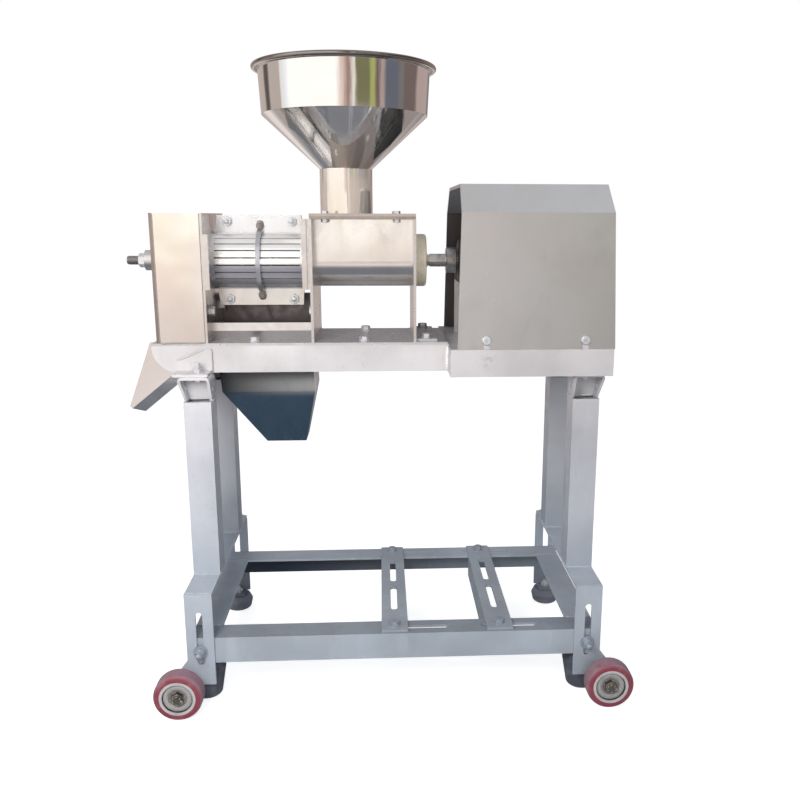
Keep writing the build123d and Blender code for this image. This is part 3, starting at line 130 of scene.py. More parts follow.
# %% Tools for finishes
class Finish:
    """One material while it is being mixed."""

    def __init__(self, name, colour, metallic, roughness):
        self.material = bpy.data.materials.new(name)
        self.material.use_nodes = True
        self.material.diffuse_color = (*colour, 1)
        self.tree = self.material.node_tree
        self.shader = self.tree.nodes["Principled BSDF"]
        self.shader.inputs["Base Color"].default_value = (*colour, 1)
        self.shader.inputs["Metallic"].default_value = metallic
        self.shader.inputs["Roughness"].default_value = roughness
        self.place = self.add("ShaderNodeTexCoord").outputs["Object"]
        self.surface = None

    def add(self, kind, **settings):
        """Make a node with the given settings."""
        node = self.tree.nodes.new(kind)
        for name, value in settings.items():
            setattr(node, name, value)
        return node

    def feed(self, socket, value):
        """Join a socket to another one, or set its value."""
        if isinstance(value, bpy.types.NodeSocket):
            self.tree.links.new(value, socket)
        else:
            socket.default_value = (*value, 1) if socket.type == "RGBA" else value

    def noise(self, scale, detail, stretch=(1, 1, 1), distortion=0.0):
        """Cloudy pattern; the scale counts its cells in a metre."""
        mapping = self.add("ShaderNodeMapping")
        self.feed(mapping.inputs["Vector"], self.place)
        mapping.inputs["Scale"].default_value = stretch
        texture = self.add("ShaderNodeTexNoise")
        self.feed(texture.inputs["Vector"], mapping.outputs["Vector"])
        texture.inputs["Scale"].default_value = scale
        texture.inputs["Detail"].default_value = detail
        texture.inputs["Distortion"].default_value = distortion
        return texture.outputs["Fac"]

    def cut(self, source, low, high, start=0.0, end=1.0):
        """Stretch part of a pattern's range to new limits."""
        node = self.add("ShaderNodeMapRange", clamp=True, interpolation_type="SMOOTHSTEP")
        self.feed(node.inputs["Value"], source)
        for name, value in (("From Min", low), ("From Max", high), ("To Min", start), ("To Max", end)):
            node.inputs[name].default_value = value
        return node.outputs["Result"]

    def sum(self, operation, first, second):
        """Arithmetic on two patterns or numbers."""
        node = self.add("ShaderNodeMath", operation=operation)
        self.feed(node.inputs[0], first)
        self.feed(node.inputs[1], second)
        return node.outputs[0]

    def both(self, first, second):
        """Bright only where two masks are bright."""
        return self.sum("MULTIPLY", first, second)

    def mix(self, mask, first, second):
        """Two colours, the second where the mask is bright."""
        node = self.add("ShaderNodeMix", data_type="RGBA")
        self.feed(node.inputs[0], mask)
        self.feed(node.inputs[6], first)
        self.feed(node.inputs[7], second)
        return node.outputs[2]

    def near(self, centre, reach):
        """Soft ball of brightness round a point."""
        node = self.add("ShaderNodeVectorMath", operation="DISTANCE")
        self.feed(node.inputs[0], self.place)
        node.inputs[1].default_value = centre
        return self.cut(node.outputs["Value"], 0.0, reach, 1.0, 0.0)

    def axis(self, name):
        """One coordinate of the place on the surface, in metres."""
        node = self.add("ShaderNodeSeparateXYZ")
        self.feed(node.inputs[0], self.place)
        return node.outputs[name]

    def between(self, name, low, high, edge):
        """Mask between two limits along an axis, with soft edges."""
        along = self.axis(name)
        return self.both(self.cut(along, low, low + edge), self.cut(along, high - edge, high, 1, 0))

    def ramp(self, source, stops):
        """Row of colours along a pattern, given as (position, colour) pairs."""
        node = self.add("ShaderNodeValToRGB")
        self.feed(node.inputs["Fac"], source)
        row = node.color_ramp.elements
        while len(row) < len(stops):
            row.new(0.5)
        for element, (position, colour) in zip(row, stops):
            element.position = position
            element.color = (*colour, 1)
        return node.outputs["Color"]

    def raise_by(self, height, distance, strength):
        """Raise the surface by a pattern; each call adds to the last."""
        node = self.add("ShaderNodeBump")
        node.inputs["Distance"].default_value = distance
        node.inputs["Strength"].default_value = strength
        self.feed(node.inputs["Height"], height)
        if self.surface is not None:
            self.feed(node.inputs["Normal"], self.surface)
        self.surface = node.outputs["Normal"]

    def done(self, **sockets):
        """Join the last patterns to the shader and hand back the material."""
        for name, value in sockets.items():
            self.feed(self.shader.inputs[name.replace("_", " ").title()], value)
        if self.surface is not None:
            self.feed(self.shader.inputs["Normal"], self.surface)
        return self.material


def shaded(colour, by):
    """The same colour, lighter or darker."""
    return tuple(by * c for c in colour)


def dress(material, *names):
    """Give parts of the frame a finish."""
    for name in names:
        mesh = nodes[name].data
        mesh.materials.clear()
        mesh.materials.append(material)


print("tools for finishes ready")

# %% [markdown]
# ## Silver paint on the stand
# The stand is stock tube and angle, sprayed with aluminium paint. Such paint is a little metallic,
# clouded where it went on thick or thin, and scuffed through to the grey steel here and there. Its
# row of colours by height also paints shade on it: darker and bluer towards the floor. One colour
# would look like plastic, and a picture of paint would have to be unwrapped on every tube, so the
# paint is mixed from noises over a row of colours by height.

# %% Silver paint
# Towards the floor the colours grow darker and bluer: painted shade.
paint_and_shade_heights = [
    (0.0, (0.44, 0.49, 0.55)), (0.34, (0.48, 0.52, 0.575)), (0.45, (0.585, 0.60, 0.65)),
    (0.75, (0.61, 0.605, 0.63)), (0.83, (0.63, 0.60, 0.60)), (1.0, (0.63, 0.60, 0.60)),
]
paint_reach, thick_coat, thin_coat = 0.6, 1.03, 0.83
paint_run, grime_brown, scuffed_steel = (0.76, 0.77, 0.80), (0.30, 0.29, 0.28), (0.36, 0.36, 0.37)
dent_grey, shade_navy = (0.44, 0.43, 0.44), (0.022, 0.032, 0.048)
shade_left_x, shade_right_x, shade_edge = across(-230), across(250), 0.0002


# shade_level lightens or darkens the whole paint; below one it is painted shade.
def silver_paint(name, shade_level=1.0, dents=None, shade_band=None):
    """Dents are (centre, reach); a band of painted shade is (low, high, back, left amount, right amount)."""
    paint = Finish(name, (0.6, 0.6, 0.6), 0.2, 0.42)
    clouds = paint.noise(9, 4)
    runs = paint.noise(40, 3, (1, 1, 0.2))
    grime = paint.noise(120, 5, (1, 1, 0.6), 0.4)
    scuffs = paint.cut(paint.noise(240, 6, (1, 1, 1), 0.8), 0.70, 0.73)
    climb = paint.sum("DIVIDE", paint.axis("Z"), paint_reach)
    thick, thin = (
        paint.ramp(climb, [(z, shaded(colour, layer * shade_level)) for z, colour in paint_and_shade_heights])
        for layer in (thick_coat, thin_coat)
    )
    shade = paint.mix(paint.cut(clouds, 0.35, 0.7), thick, thin)
    shade = paint.mix(paint.cut(runs, 0.56, 0.76, 0, 0.14), shade, paint_run)
    shade = paint.mix(paint.cut(grime, 0.64, 0.8, 0, 0.3), shade, grime_brown)
    if dents:
        marks = paint.cut(paint.noise(170, 5, (1, 1, 1.6), 1.5), 0.53, 0.60)
        marks = paint.both(marks, paint.near(*dents))
        shade = paint.mix(marks, shade, dent_grey)
        paint.raise_by(marks, 0.0006, 0.5)
    shade = paint.mix(scuffs, shade, scuffed_steel)
    # Painted shade: a nearly black navy band where a face lies in shadow.
    if shade_band:
        low, high, back, left, right = shade_band
        amount = paint.cut(paint.axis("X"), shade_left_x, shade_right_x, left, right)
        amount = paint.both(amount, paint.between("Z", low, high, shade_edge))
        amount = paint.both(amount, paint.cut(paint.axis("Y"), back - shade_edge, back, 1, 0))
        shade = paint.mix(amount, shade, shade_navy)
    paint.raise_by(clouds, 0.004, 0.10)
    paint.raise_by(paint.noise(700, 2), 0.0004, 0.20)
    return paint.done(base_color=shade, roughness=paint.cut(grime, 0.35, 0.75, 0.36, 0.58))


print("paint mixed for", len(paint_and_shade_heights), "heights")

# %% [markdown]
# Most of the stand gets the plain paint. A few parts differ. The front rail under the cover is dented
# and a little darker, and some legs and the motor bars are darker all over: painted shade where they
# lie in shadow. Bands of painted shade darken the faces towards the front at the rear of the platform
# nearly to black, and also the top of the front platform rail and the feet of the rear posts. Those
# bands are marked by their place on the part.

# %% Painted parts
far = 1.0
platform_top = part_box("rear_platform_rail")[1][2]
dent = (at(137, -136, 507), 0.024)
rear_face = (0.0, platform_top - 0.0045, depth(136.3), 1.0, 0.45)
front_top = (platform_top - 0.0003, far, far, 0.3, 0.3)
post_face = (0.0, 0.1, depth(140.5), 0.6, 0.5)
painted = [row["node"] for row in frame["record"]["subparts"] if row["material_slot"] == "frame_paint"]
dress(silver_paint("silver_paint"), *painted)
# The dented rail is a little darker, and these legs and the motor bars more so: painted shade.
dress(silver_paint("silver_paint_dented", 0.92, dent), "front_drive_rail")
dress(silver_paint("silver_paint_shaded", 0.84), "rear_left_leg", "front_right_leg", "rear_right_leg",
      "left_motor_bar", "right_motor_bar")
# Bands of painted shade on the rear rail's front face, the front rail's top and the rear posts' feet.
dress(silver_paint("silver_paint_rear", 0.95, None, rear_face), "rear_platform_rail")
dress(silver_paint("silver_paint_front", 0.95, None, front_top), "front_platform_rail")
dress(silver_paint("silver_paint_low", 0.95, None, post_face), "rear_left_post", "rear_right_post")
print("painted", len(painted), "parts")

# %% [markdown]
# ## Stainless steel
# The press is stainless sheet and plate. Bright sheet shows its surroundings, blurred by fine rolling
# lines, and nothing made by hand is quite flat, so the reflections waver. One function mixes all of
# it, because the sheets differ only in roughness, in the direction of their lines and in how far they
# are out of flat. It can also tint a zone of a part, where an edge is brown from welding and where
# shade or a reflection is painted on, and dull the part below a height.

# %% Stainless steel
warm_tint = (0.95, 0.93, 0.91)
smear_brown, dust_grey, zone_edge, dull_edge = (0.50, 0.46, 0.42), (0.44, 0.42, 0.40), 0.0005, 0.002


def stainless(name, colour, rough, lines, wave=0.0, stain=0.15, zones=(), dulled=()):
    """A zone is (tint, limits), with limits (axis, low, high), and a dulled one (height, metallic)."""
    steel = Finish(name, colour, 1.0, rough)
    clouds = steel.noise(7, 4, (1, 1, 1), 0.6)
    grain = steel.noise(90, 4, lines)
    smears = steel.noise(26, 5, (1, 1, 0.5), 1.2)
    dust = steel.cut(steel.noise(420, 4), 0.70, 0.78, 0, 0.3)
    warm = tuple(c * tint for c, tint in zip(colour, warm_tint))
    shade = steel.mix(steel.cut(clouds, 0.38, 0.68), colour, warm)
    shade = steel.mix(steel.cut(smears, 0.58, 0.80, 0, stain), shade, smear_brown)
    shade = steel.mix(dust, shade, dust_grey)
    for tint, first, *others in zones:
        inside = steel.between(*first, zone_edge)
        for limits in others:
            inside = steel.both(inside, steel.between(*limits, zone_edge))
        shade = steel.mix(inside, shade, steel.mix(smears, tint, shaded(tint, 0.75)))
    if wave:
        steel.raise_by(steel.noise(6, 2, (1, 1, 1), 0.3), wave, 0.25)
    steel.raise_by(grain, 0.00010, 0.18)
    blur = steel.cut(grain, 0.3, 0.7, -0.15 * rough, 0.2 * rough)
    blur = steel.sum("ADD", blur, steel.cut(smears, 0.4, 0.8, 0.0, 0.5 * rough))
    blur = steel.sum("ADD", blur, rough)
    shine = 1.0
    for height, metallic in dulled:
        below = steel.cut(steel.axis("Z"), height - dull_edge, height, metallic, 1.0)
        shine = steel.sum("MINIMUM", shine, below)
    return steel.done(base_color=shade, roughness=blur, metallic=shine)


print("steel mixed")

# %% [markdown]
# The hopper is spun from bright sheet and polished smooth, with faint lines up and down. The box, the
# trough and the residue chute are bent from bright sheet too, while the cover and the tray are duller.
# Brown edges follow the joints. The hopper's rim is darkened as a painted dark reflection, and its
# neck is warmer and less bright than its bowl, also a painted reflection. Painted shade darkens the
# inside of the cover's rear wall, which shows through its open end, and the rear of the tray.

# %% Sheet
edge_brown, shadow_brown, rim_reflection_dark = (0.42, 0.36, 0.33), (0.17, 0.153, 0.155), (0.34, 0.30, 0.28)
bright, neck_reflection_tint = (0.86, 0.835, 0.81), (0.83, 0.745, 0.66)
flange_low, flange_high, trough_top = level(707), level(716.6), 0.72
neck_high, cone_low, bowl_low, rim_low = level(781), level(782), level(859), level(922)
cover_right, cover_back, cover_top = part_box("drive_cover")[1]
bright_sheet = stainless("bright_sheet", bright, 0.14, (1, 1, 22), 0.010)
trough_sheet = stainless(
    "trough_sheet", bright, 0.14, (1, 1, 22), 0.010, zones=[(edge_brown, ("Z", flange_low, trough_top))])
spun_sheet = stainless(
    "spun_sheet", (0.84, 0.82, 0.80), 0.05, (8, 8, 0.3), 0.006, 0.1,
    [
        (edge_brown, ("Z", flange_low, flange_high)),
        # The rim's dark tint and the neck's warm tint are painted reflections.
        (rim_reflection_dark, ("Z", rim_low, far)),
        (neck_reflection_tint, ("Z", flange_high, neck_high)),
    ],
    [(cone_low, 0.55), (bowl_low, 0.94)],
)
inside_cover = (
    ("X", -far, cover_right - 0.0015),
    ("Y", cover_back - 0.05, cover_back - 0.0007),
    ("Z", 0.0, cover_top - 0.04),
)
dull_sheet = stainless(
    "dull_sheet", (0.745, 0.755, 0.765), 0.32, (14, 1, 1), 0.006, 0.1, [(shadow_brown, *inside_cover)])
tray_sheet = stainless(
    "tray_sheet", (0.78, 0.76, 0.75), 0.3, (1, 1, 1), zones=[(shadow_brown, ("Y", depth(20), far))])
dress(bright_sheet, "discharge_box", "residue_chute")
dress(trough_sheet, "feed_trough")
dress(spun_sheet, "hopper")
dress(dull_sheet, "drive_cover")
dress(tray_sheet, "milk_tray")
print("sheet finished, hopper rim from", round(rim_low, 3), "m")

# %% [markdown]
# The plates are thicker, cut from rougher stock, and the end plate's front edge is darker brown. The
# pressing cage is a row of ground bars between two flanges. It is held by a hoop, whose ends are brown
# from the weld. Its lower bars face the floor and are darkened with painted shade, and its flanges are
# tinted a little, the upper one greyer and the lower one warmer.

# %% Plate and bars
plate_top, end_edge_brown, weld_brown = level(536), (0.38, 0.32, 0.30), (0.34, 0.29, 0.27)
cage_foot, lower_flange, lower_shade_top, upper_flange, cage_top = map(level, (570, 601, 640, 686.5, 720))
hoop = (("X", across(-205.8), across(-198.2)), ("Y", -far, depth(-6)))
plate_steel = stainless(
    "plate_steel", (0.78, 0.755, 0.74), 0.28, (1, 6, 1), 0.0, 0.12,
    [((0.64, 0.63, 0.64), ("Z", 0.0, plate_top))], [(plate_top, 0.55)])
end_steel = stainless(
    "end_steel", (0.74, 0.73, 0.73), 0.3, (1, 6, 1), 0.0, 0.3,
    [(end_edge_brown, ("X", across(-350), across(-343)), ("Y", -far, depth(-81)))])
bar_steel = stainless(
    "bar_steel", (0.88, 0.87, 0.865), 0.18, (1, 20, 20), 0.0, 0.2,
    [
        ((0.80, 0.79, 0.80), ("Z", upper_flange, cage_top)),
        # Darker lower bars, facing the floor: painted shade.
        ((0.53, 0.52, 0.55), ("Z", lower_flange, lower_shade_top)),
        ((0.78, 0.735, 0.69), ("Z", cage_foot, lower_flange)),
        (weld_brown, *hoop),
        ((0.50, 0.50, 0.53), *hoop, ("Z", level(599), level(691))),
    ],
    [(cage_top, 0.6)],
)
dress(plate_steel, "base_plate", "outlet_plate", "feed_inner_plate", "feed_outer_plate")
dress(end_steel, "end_plate")
dress(bar_steel, "front_cage", "rear_cage")
print("plates and bars finished")

# %% [markdown]
# The milk chute hangs under the rails. Its colours are painted reflection and shade: its lower slopes
# are painted dark and bluish, a reflection of the shaded ground, and its upright top edge is lighter
# towards the right, a painted reflection, and dark just under the rail, painted shade. So its colour
# changes with height and from side to side. That is simpler to say with two masks than with the zones
# of the other sheets.

# %% Milk chute
chute_low, chute_high = (Vector(corner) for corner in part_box("milk_chute"))
chute_fold = level(449)
# Dark slopes and the light right end of the edge are painted reflection; the dark band under the rail is
# painted shade.
slope_dark, edge_dark, edge_reflection = (0.03, 0.055, 0.085), (0.022, 0.025, 0.03), (0.24, 0.24, 0.24)

chute = Finish("chute_sheet", slope_dark, 0.35, 0.3)
smears = chute.noise(26, 4, (1, 1, 0.5), 0.8)
rightward = chute.cut(chute.axis("X"), chute_low.x, chute_high.x - 0.01)
above_fold = chute.cut(chute.axis("Z"), chute_fold - 0.012, chute_fold + 0.004)
rail_shadow = chute.cut(chute.axis("Z"), chute_fold + 0.008, chute_fold + 0.03, 0, 0.8)
shade = chute.mix(above_fold, slope_dark, chute.mix(rightward, edge_dark, edge_reflection))
shade = chute.mix(rail_shadow, shade, edge_dark)
shade = chute.mix(chute.cut(smears, 0.5, 0.8, 0, 0.3), shade, shaded(slope_dark, 1.8))
chute.raise_by(chute.noise(9, 2), 0.006, 0.2)
dress(chute.done(base_color=shade, roughness=chute.cut(smears, 0.3, 0.8, 0.24, 0.4)), "milk_chute")
print("milk chute folds at", round(chute_fold, 3), "m")

# %% [markdown]
# ## Machined steel and zinc
# The shaft, the auger and the axles are turned on a lathe, which leaves fine rings across them, and
# they are oily in patches. Bolts are zinc plated: pale, half bright and mottled. The ones down on the
# platform get a darker, bluer copy of the plating, which paints on the shade they stand in, and the
# nuts and pins at the wheels have yellowed like brass. Two functions mix them all, because only the
# colours differ.

# %% Turned steel and zinc
def turned_steel(name, colour, rough):
    """Steel with rings from the lathe and patches of oil."""
    steel = Finish(name, colour, 1.0, rough)
    oil = steel.noise(45, 4, (1, 1, 1), 0.8)
    shade = steel.mix(steel.cut(oil, 0.5, 0.75, 0, 0.7), colour, shaded(colour, 0.6))
    steel.raise_by(steel.noise(160, 3, (14, 1, 1)), 0.0002, 0.3)
    return steel.done(base_color=shade, roughness=steel.cut(oil, 0.3, 0.7, rough, rough + 0.16))


def zinc_plate(name, colour):
    """Plating with a fine spangle and dull patches."""
    plate = Finish(name, colour, 0.55, 0.25)
    spangle = plate.noise(330, 4, (1, 1, 1), 0.5)
    dull = plate.noise(60, 4)
    shade = plate.mix(plate.cut(spangle, 0.4, 0.65), colour, shaded(colour, 0.95))
    shade = plate.mix(plate.cut(dull, 0.55, 0.75, 0, 0.3), shade, shaded(colour, 0.7))
    return plate.done(base_color=shade, roughness=plate.cut(dull, 0.3, 0.7, 0.2, 0.34))


shaft_steel = turned_steel("turned_steel", (0.60, 0.59, 0.58), 0.22)
dark_thread = turned_steel("dark_thread", (0.36, 0.355, 0.35), 0.32)
zinc = zinc_plate("zinc_plate", (0.69, 0.70, 0.72))
# A darker, bluer copy of the plating for the low bolts: painted shade.
shaded_zinc = zinc_plate("shaded_zinc", (0.44, 0.49, 0.56))
brass = zinc_plate("brassy_zinc", (0.42, 0.35, 0.24))
dress(shaft_steel, "drive_shaft", "shaft_collar", "choke_cone")
dress(dark_thread, "wheel_axles", "auger")
dress(zinc, "frame_bolts", "cage_bolts", "cover_screws", "lock_nut")
dress(shaded_zinc, "platform_bolts", "left_motor_bar_bolts", "right_motor_bar_bolts")
print("bolts and shafts finished")

# %% [markdown]
# ## Castings and nylon
# The bearing blocks and the pulley are cast in sand, which leaves them pitted, and they rust in spots.
# The bush is cream nylon. It yellows unevenly, has fine marks from the lathe, and lets a little light
# into itself, which a plain colour wouldn't show.

# %% Castings and nylon
casting_black, rust, cream_white = (0.045, 0.043, 0.042), (0.16, 0.10, 0.07), (1.0, 0.88, 0.68)

iron = Finish("dark_casting", casting_black, 0.3, 0.6)
sand = iron.noise(520, 5)
spots = iron.noise(40, 5, (1, 1, 1), 0.7)
shade = iron.mix(iron.cut(sand, 0.35, 0.7), casting_black, shaded(casting_black, 1.5))
shade = iron.mix(iron.cut(spots, 0.58, 0.75, 0, 0.5), shade, rust)
iron.raise_by(sand, 0.0006, 0.6)
dark_casting = iron.done(base_color=shade, roughness=iron.cut(spots, 0.3, 0.7, 0.5, 0.8))
dress(dark_casting, "bearing_blocks", "v_pulley")

nylon = Finish("cream_nylon", cream_white, 0.0, 0.42)
age = nylon.noise(35, 4, (1, 1, 1), 0.5)
shade = nylon.mix(nylon.cut(age, 0.4, 0.7, 0, 0.7), cream_white, shaded(cream_white, 0.8))
nylon.raise_by(nylon.noise(70, 2, (20, 1, 1)), 0.0003, 0.3)
nylon.shader.inputs["Subsurface Weight"].default_value = 0.15
nylon.shader.inputs["Subsurface Radius"].default_value = (0.004, 0.003, 0.002)
dress(nylon.done(base_color=shade, roughness=nylon.cut(age, 0.3, 0.7, 0.36, 0.5)), "nylon_bush")
print("castings and bush finished")

# %% [markdown]
# ## Wheels and feet
# The tyres are red rubber, greyed by dust where they roll. A painted ring would need the tyre unwrapped,
# so the dust depends on how far a point is from the axle. Hubs are plastic and feet are rubber, both
# under patches of dust, and one function serves for all of them.

# %% Rubber and plastic
tyre_red, tyre_dust, rolled_dust = (0.24, 0.045, 0.066), (0.40, 0.24, 0.26), (0.30, 0.225, 0.26)
rolled_width = 0.004


def red_tread(name, centre, radius):
    """Red rubber round an axle, dusty where it rolls."""
    tread = Finish(name, tyre_red, 0.0, 0.45)
    dust = tread.noise(70, 5, (1, 1, 1), 0.6)
    sideways = tread.sum("POWER", tread.sum("SUBTRACT", tread.axis("X"), centre.x), 2.0)
    upright = tread.sum("POWER", tread.sum("SUBTRACT", tread.axis("Z"), centre.z), 2.0)
    from_axle = tread.sum("SQRT", tread.sum("ADD", sideways, upright), 0.0)
    rolled = tread.cut(from_axle, radius - rolled_width, radius, 0.0, 0.7)
    rolled = tread.both(rolled, tread.cut(dust, 0.2, 0.6, 0.4, 1.0))
    shade = tread.mix(tread.cut(dust, 0.52, 0.78, 0, 0.4), tyre_red, tyre_dust)
    shade = tread.mix(rolled, shade, rolled_dust)
    tread.raise_by(tread.noise(900, 3), 0.0003, 0.3)
    return tread.done(base_color=shade, roughness=tread.cut(dust, 0.35, 0.7, 0.36, 0.66))


def dusty(name, colour, dusted, rough, fine):
    """Plastic or rubber with a fine grain, under patches of dust."""
    stuff = Finish(name, colour, 0.0, rough)
    dust = stuff.noise(60, 5, (1, 1, 1), 0.6)
    shade = stuff.mix(stuff.cut(dust, 0.45, 0.75, 0, 0.6), colour, dusted)
    stuff.raise_by(stuff.noise(fine, 3), 0.0003, 0.3)
    return stuff.done(base_color=shade, roughness=stuff.cut(dust, 0.3, 0.7, rough - 0.08, rough + 0.14))


sides = ("left", "right")
for side in sides:
    tyre_low, tyre_high = (Vector(corner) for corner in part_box(f"{side}_wheel_tyre"))
    tyre_radius = (tyre_high.z - tyre_low.z) / 2
    dress(red_tread(f"{side}_red_tread", (tyre_low + tyre_high) / 2, tyre_radius), f"{side}_wheel_tyre")
hub_plastic = dusty("hub_plastic", (0.50, 0.475, 0.465), (0.34, 0.315, 0.30), 0.38, 500)
black_rubber = dusty("black_rubber", (0.072, 0.077, 0.10), (0.17, 0.175, 0.20), 0.60, 800)
grey_rubber = dusty("grey_rubber", (0.15, 0.16, 0.19), (0.24, 0.25, 0.28), 0.60, 800)
dress(hub_plastic, "left_wheel_hub", "right_wheel_hub")
dress(black_rubber, "front_left_foot", "front_right_foot")
dress(grey_rubber, "rear_left_foot", "rear_right_foot")
print("finishes:", len(bpy.data.materials))

# %% [markdown]
# ## Making new pieces
# Every new piece is one mesh. It is filled by the helpers of the next cells and then handed over with
# its finish and the body that carries it, so that it moves with that body. Round things are made as
# rings of points joined by a skin, which needs no modifiers and gives the same mesh every time.

# %% Tools for pieces
chance = random.Random(7)


def hand_over(name, mesh, material, body):
    """Turn a filled bmesh into a piece that rides on a body."""
    data = bpy.data.meshes.new(name)
    bmesh.ops.recalc_face_normals(mesh, faces=mesh.faces)
    mesh.to_mesh(data)
    mesh.free()
    for polygon in data.polygons:
        polygon.use_smooth = True
    data.materials.append(material)
    piece = bpy.data.objects.new(name, data)
    bpy.context.scene.collection.objects.link(piece)
    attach(piece, body)
    return piece


def turning(start, along):
    """Matrix that lays the Z axis along a direction, from a point."""
    return Matrix.Translation(start) @ along.normalized().to_track_quat("Z", "Y").to_matrix().to_4x4()


def skin(mesh, rings, closed=True):
    """Join rings of points into a tube, with caps on its ends if it is closed."""
    rows = [[mesh.verts.new(point) for point in ring] for ring in rings]
    for low, high in zip(rows, rows[1:]):
        for i in range(len(low)):
            j = (i + 1) % len(low)
            mesh.faces.new((low[i], low[j], high[j], high[i]))
    if closed:
        mesh.faces.new(rows[0][::-1])
        mesh.faces.new(rows[-1])


print("tools for pieces ready")

# %% [markdown]
# ## Threads
# A screw thread is one ridge that winds round the rod. The rod is made as many short rings of points,
# and each point's radius depends on how far round and how far along it is, so that the ridge climbs
# by one pitch in a turn. The ends taper, as the first threads on a real rod are cut away.

# %% Threaded rods
def add_thread(mesh, start, end, radius, groove, pitch, taper, around=24):
    """Add a threaded rod between two points, in metres."""
    along = end - start
    place = turning(start, along)
    steps = max(8, round(along.length / pitch * 6))
    rings = []
    for k in range(steps + 1):
        z = along.length * k / steps
        from_end = min(z, along.length - z)
        trim = groove * 1.4 * max(0.0, 1 - from_end / taper)
        ring = []
        for i in range(around):
            turn = i / around
            climb = (z / pitch - turn) % 1
            ridge = abs(2 * climb - 1)
            r = min(radius - groove * (1 - ridge), radius - trim)
            ring.append(place @ Vector((r * cos(tau * turn), r * sin(tau * turn), z)))
        rings.append(ring)
    skin(mesh, rings)


adjuster_groove, adjuster_pitch, adjuster_taper = 0.0009, 0.002, 0.003
screw_low, screw_high = (Vector(corner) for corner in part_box("adjuster_screw"))
middle = (screw_low + screw_high) / 2
mesh = bmesh.new()
add_thread(
    mesh,
    Vector((screw_low.x, middle.y, middle.z)),
    Vector((screw_high.x, middle.y, middle.z)),
    (screw_high.z - screw_low.z) / 2,
    adjuster_groove,
    adjuster_pitch,
    adjuster_taper,
)
adjuster = hand_over("threaded_adjuster", mesh, dark_thread, "adjuster")
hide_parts("adjuster_screw")
print("adjuster thread", round((screw_high.x - screw_low.x) * 1000), "mm")

# %% [markdown]
# The ends of the clamping bolts, the leg bolts and the cage bolts stand out of their nuts, so their
# threads show. Each is a short sleeve of thread round the bolt's end.

# %% Bolt ends
bolt_thread = (0.00432, 0.00028, 0.00125, 0.001)
leg_x, clamp_z, leg_bolt_y, leg_bolt_z = 287.4, 86, (-104.3, 68.9), (494.0, 502.2)
mesh = bmesh.new()
for x in (-leg_x, leg_x):
    for near_nut, tip in ((-199.1, -207.3), (152.3, 160.5)):
        add_thread(mesh, at(x, near_nut, clamp_z), at(x, tip, clamp_z), *bolt_thread)
hand_over("clamp_bolt_threads", mesh, shaded_zinc, "platform")

mesh = bmesh.new()
for x in (-leg_x, leg_x):
    for y in leg_bolt_y:
        add_thread(mesh, at(x, y, leg_bolt_z[0]), at(x, y, leg_bolt_z[1]), *bolt_thread)
for x in (-252, -153.3):
    for z in (586, 704):
        add_thread(mesh, at(x, -11.5, z), at(x, -15.7, z), *bolt_thread)
hand_over("frame_bolt_threads", mesh, zinc, "frame")
print("threads on 12 bolt ends")

# %% [markdown]
# ## Wheel centres
# Each wheel has a black sealing ring in the groove of its hub, a grey bearing shield inside it and the
# bearing's own ring inside that. They are turned things, so each is a rounded profile carried round
# the axle. All three turn with the wheel.

# %% Turned rings
def wheel_face(side):
    """Middle of a hub's front face."""
    hub_low, hub_high = (Vector(corner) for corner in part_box(f"{side}_wheel_hub"))
    return Vector(((hub_low.x + hub_high.x) / 2, hub_low.y, (hub_low.z + hub_high.z) / 2))


def half_round(inner, outer, bottom, top, steps=7):
    """Profile of a ring with a rounded face, as (radius, height) pairs in metres."""
    half = (outer - inner) / 2
    profile = []
    for k in range(steps + 1):
        angle = pi * k / steps
        profile.append((inner + half - half * cos(angle), bottom + (top - bottom) * sin(angle)))
    return profile + [(outer, bottom - 0.001), (inner, bottom - 0.001)]


def turned_ring(centre, profile, around=48):
    """New mesh of a profile turned about a wheel's axle."""
    mesh = bmesh.new()
    rings = []
    for radius, height in profile:
        angles = (tau * i / around for i in range(around))
        rings.append([centre + Vector((radius * cos(a), -height, radius * sin(a))) for a in angles])
    skin(mesh, rings + rings[:1], closed=False)
    return mesh


seal_rubber = dusty("seal_rubber", (0.02, 0.02, 0.022), (0.07, 0.065, 0.06), 0.5, 900)
shield_grey = dusty("shield_grey", (0.36, 0.345, 0.335), (0.24, 0.225, 0.21), 0.4, 500)
bearing_grey = dusty("bearing_grey", (0.22, 0.20, 0.185), (0.12, 0.11, 0.10), 0.4, 700)
seal_profile = half_round(0.0209, 0.0219, -0.0040, -0.0008)
shield_profile = half_round(0.0141, 0.0203, -0.0029, -0.0016)
bearing_profile = half_round(0.0098, 0.0134, -0.0050, -0.0036)
for side in sides:
    face, body = wheel_face(side), f"{side}_wheel"
    hand_over(f"{side}_wheel_seal", turned_ring(face, seal_profile), seal_rubber, body)
    hand_over(f"{side}_wheel_shield", turned_ring(face, shield_profile), shield_grey, body)
    hand_over(f"{side}_wheel_bearing", turned_ring(face, bearing_profile), bearing_grey, body)
print("rings on", len(sides), "wheels")

# %% [markdown]
# The axle ends in a castle nut: a nut whose rim is cut into six teeth, so that a split pin can go
# through the axle between them and keep the nut from turning. The teeth are short blocks round the
# axle, which is simpler than cutting slots out of a nut, and the pin is a bent wire. Nut and pin stay
# with the axle when the wheel turns.

# %% Castle nuts and split pins
def add_bent_wire(mesh, points, radius, around=8):
    """Add a round wire along a row of points."""
    rings = []
    for k, point in enumerate(points):
        along = points[min(k + 1, len(points) - 1)] - points[max(k - 1, 0)]
        place = turning(point, along)
        rings.append([
            place @ Vector((radius * cos(tau * i / around), radius * sin(tau * i / around), 0))
            for i in range(around)
        ])
    skin(mesh, rings)


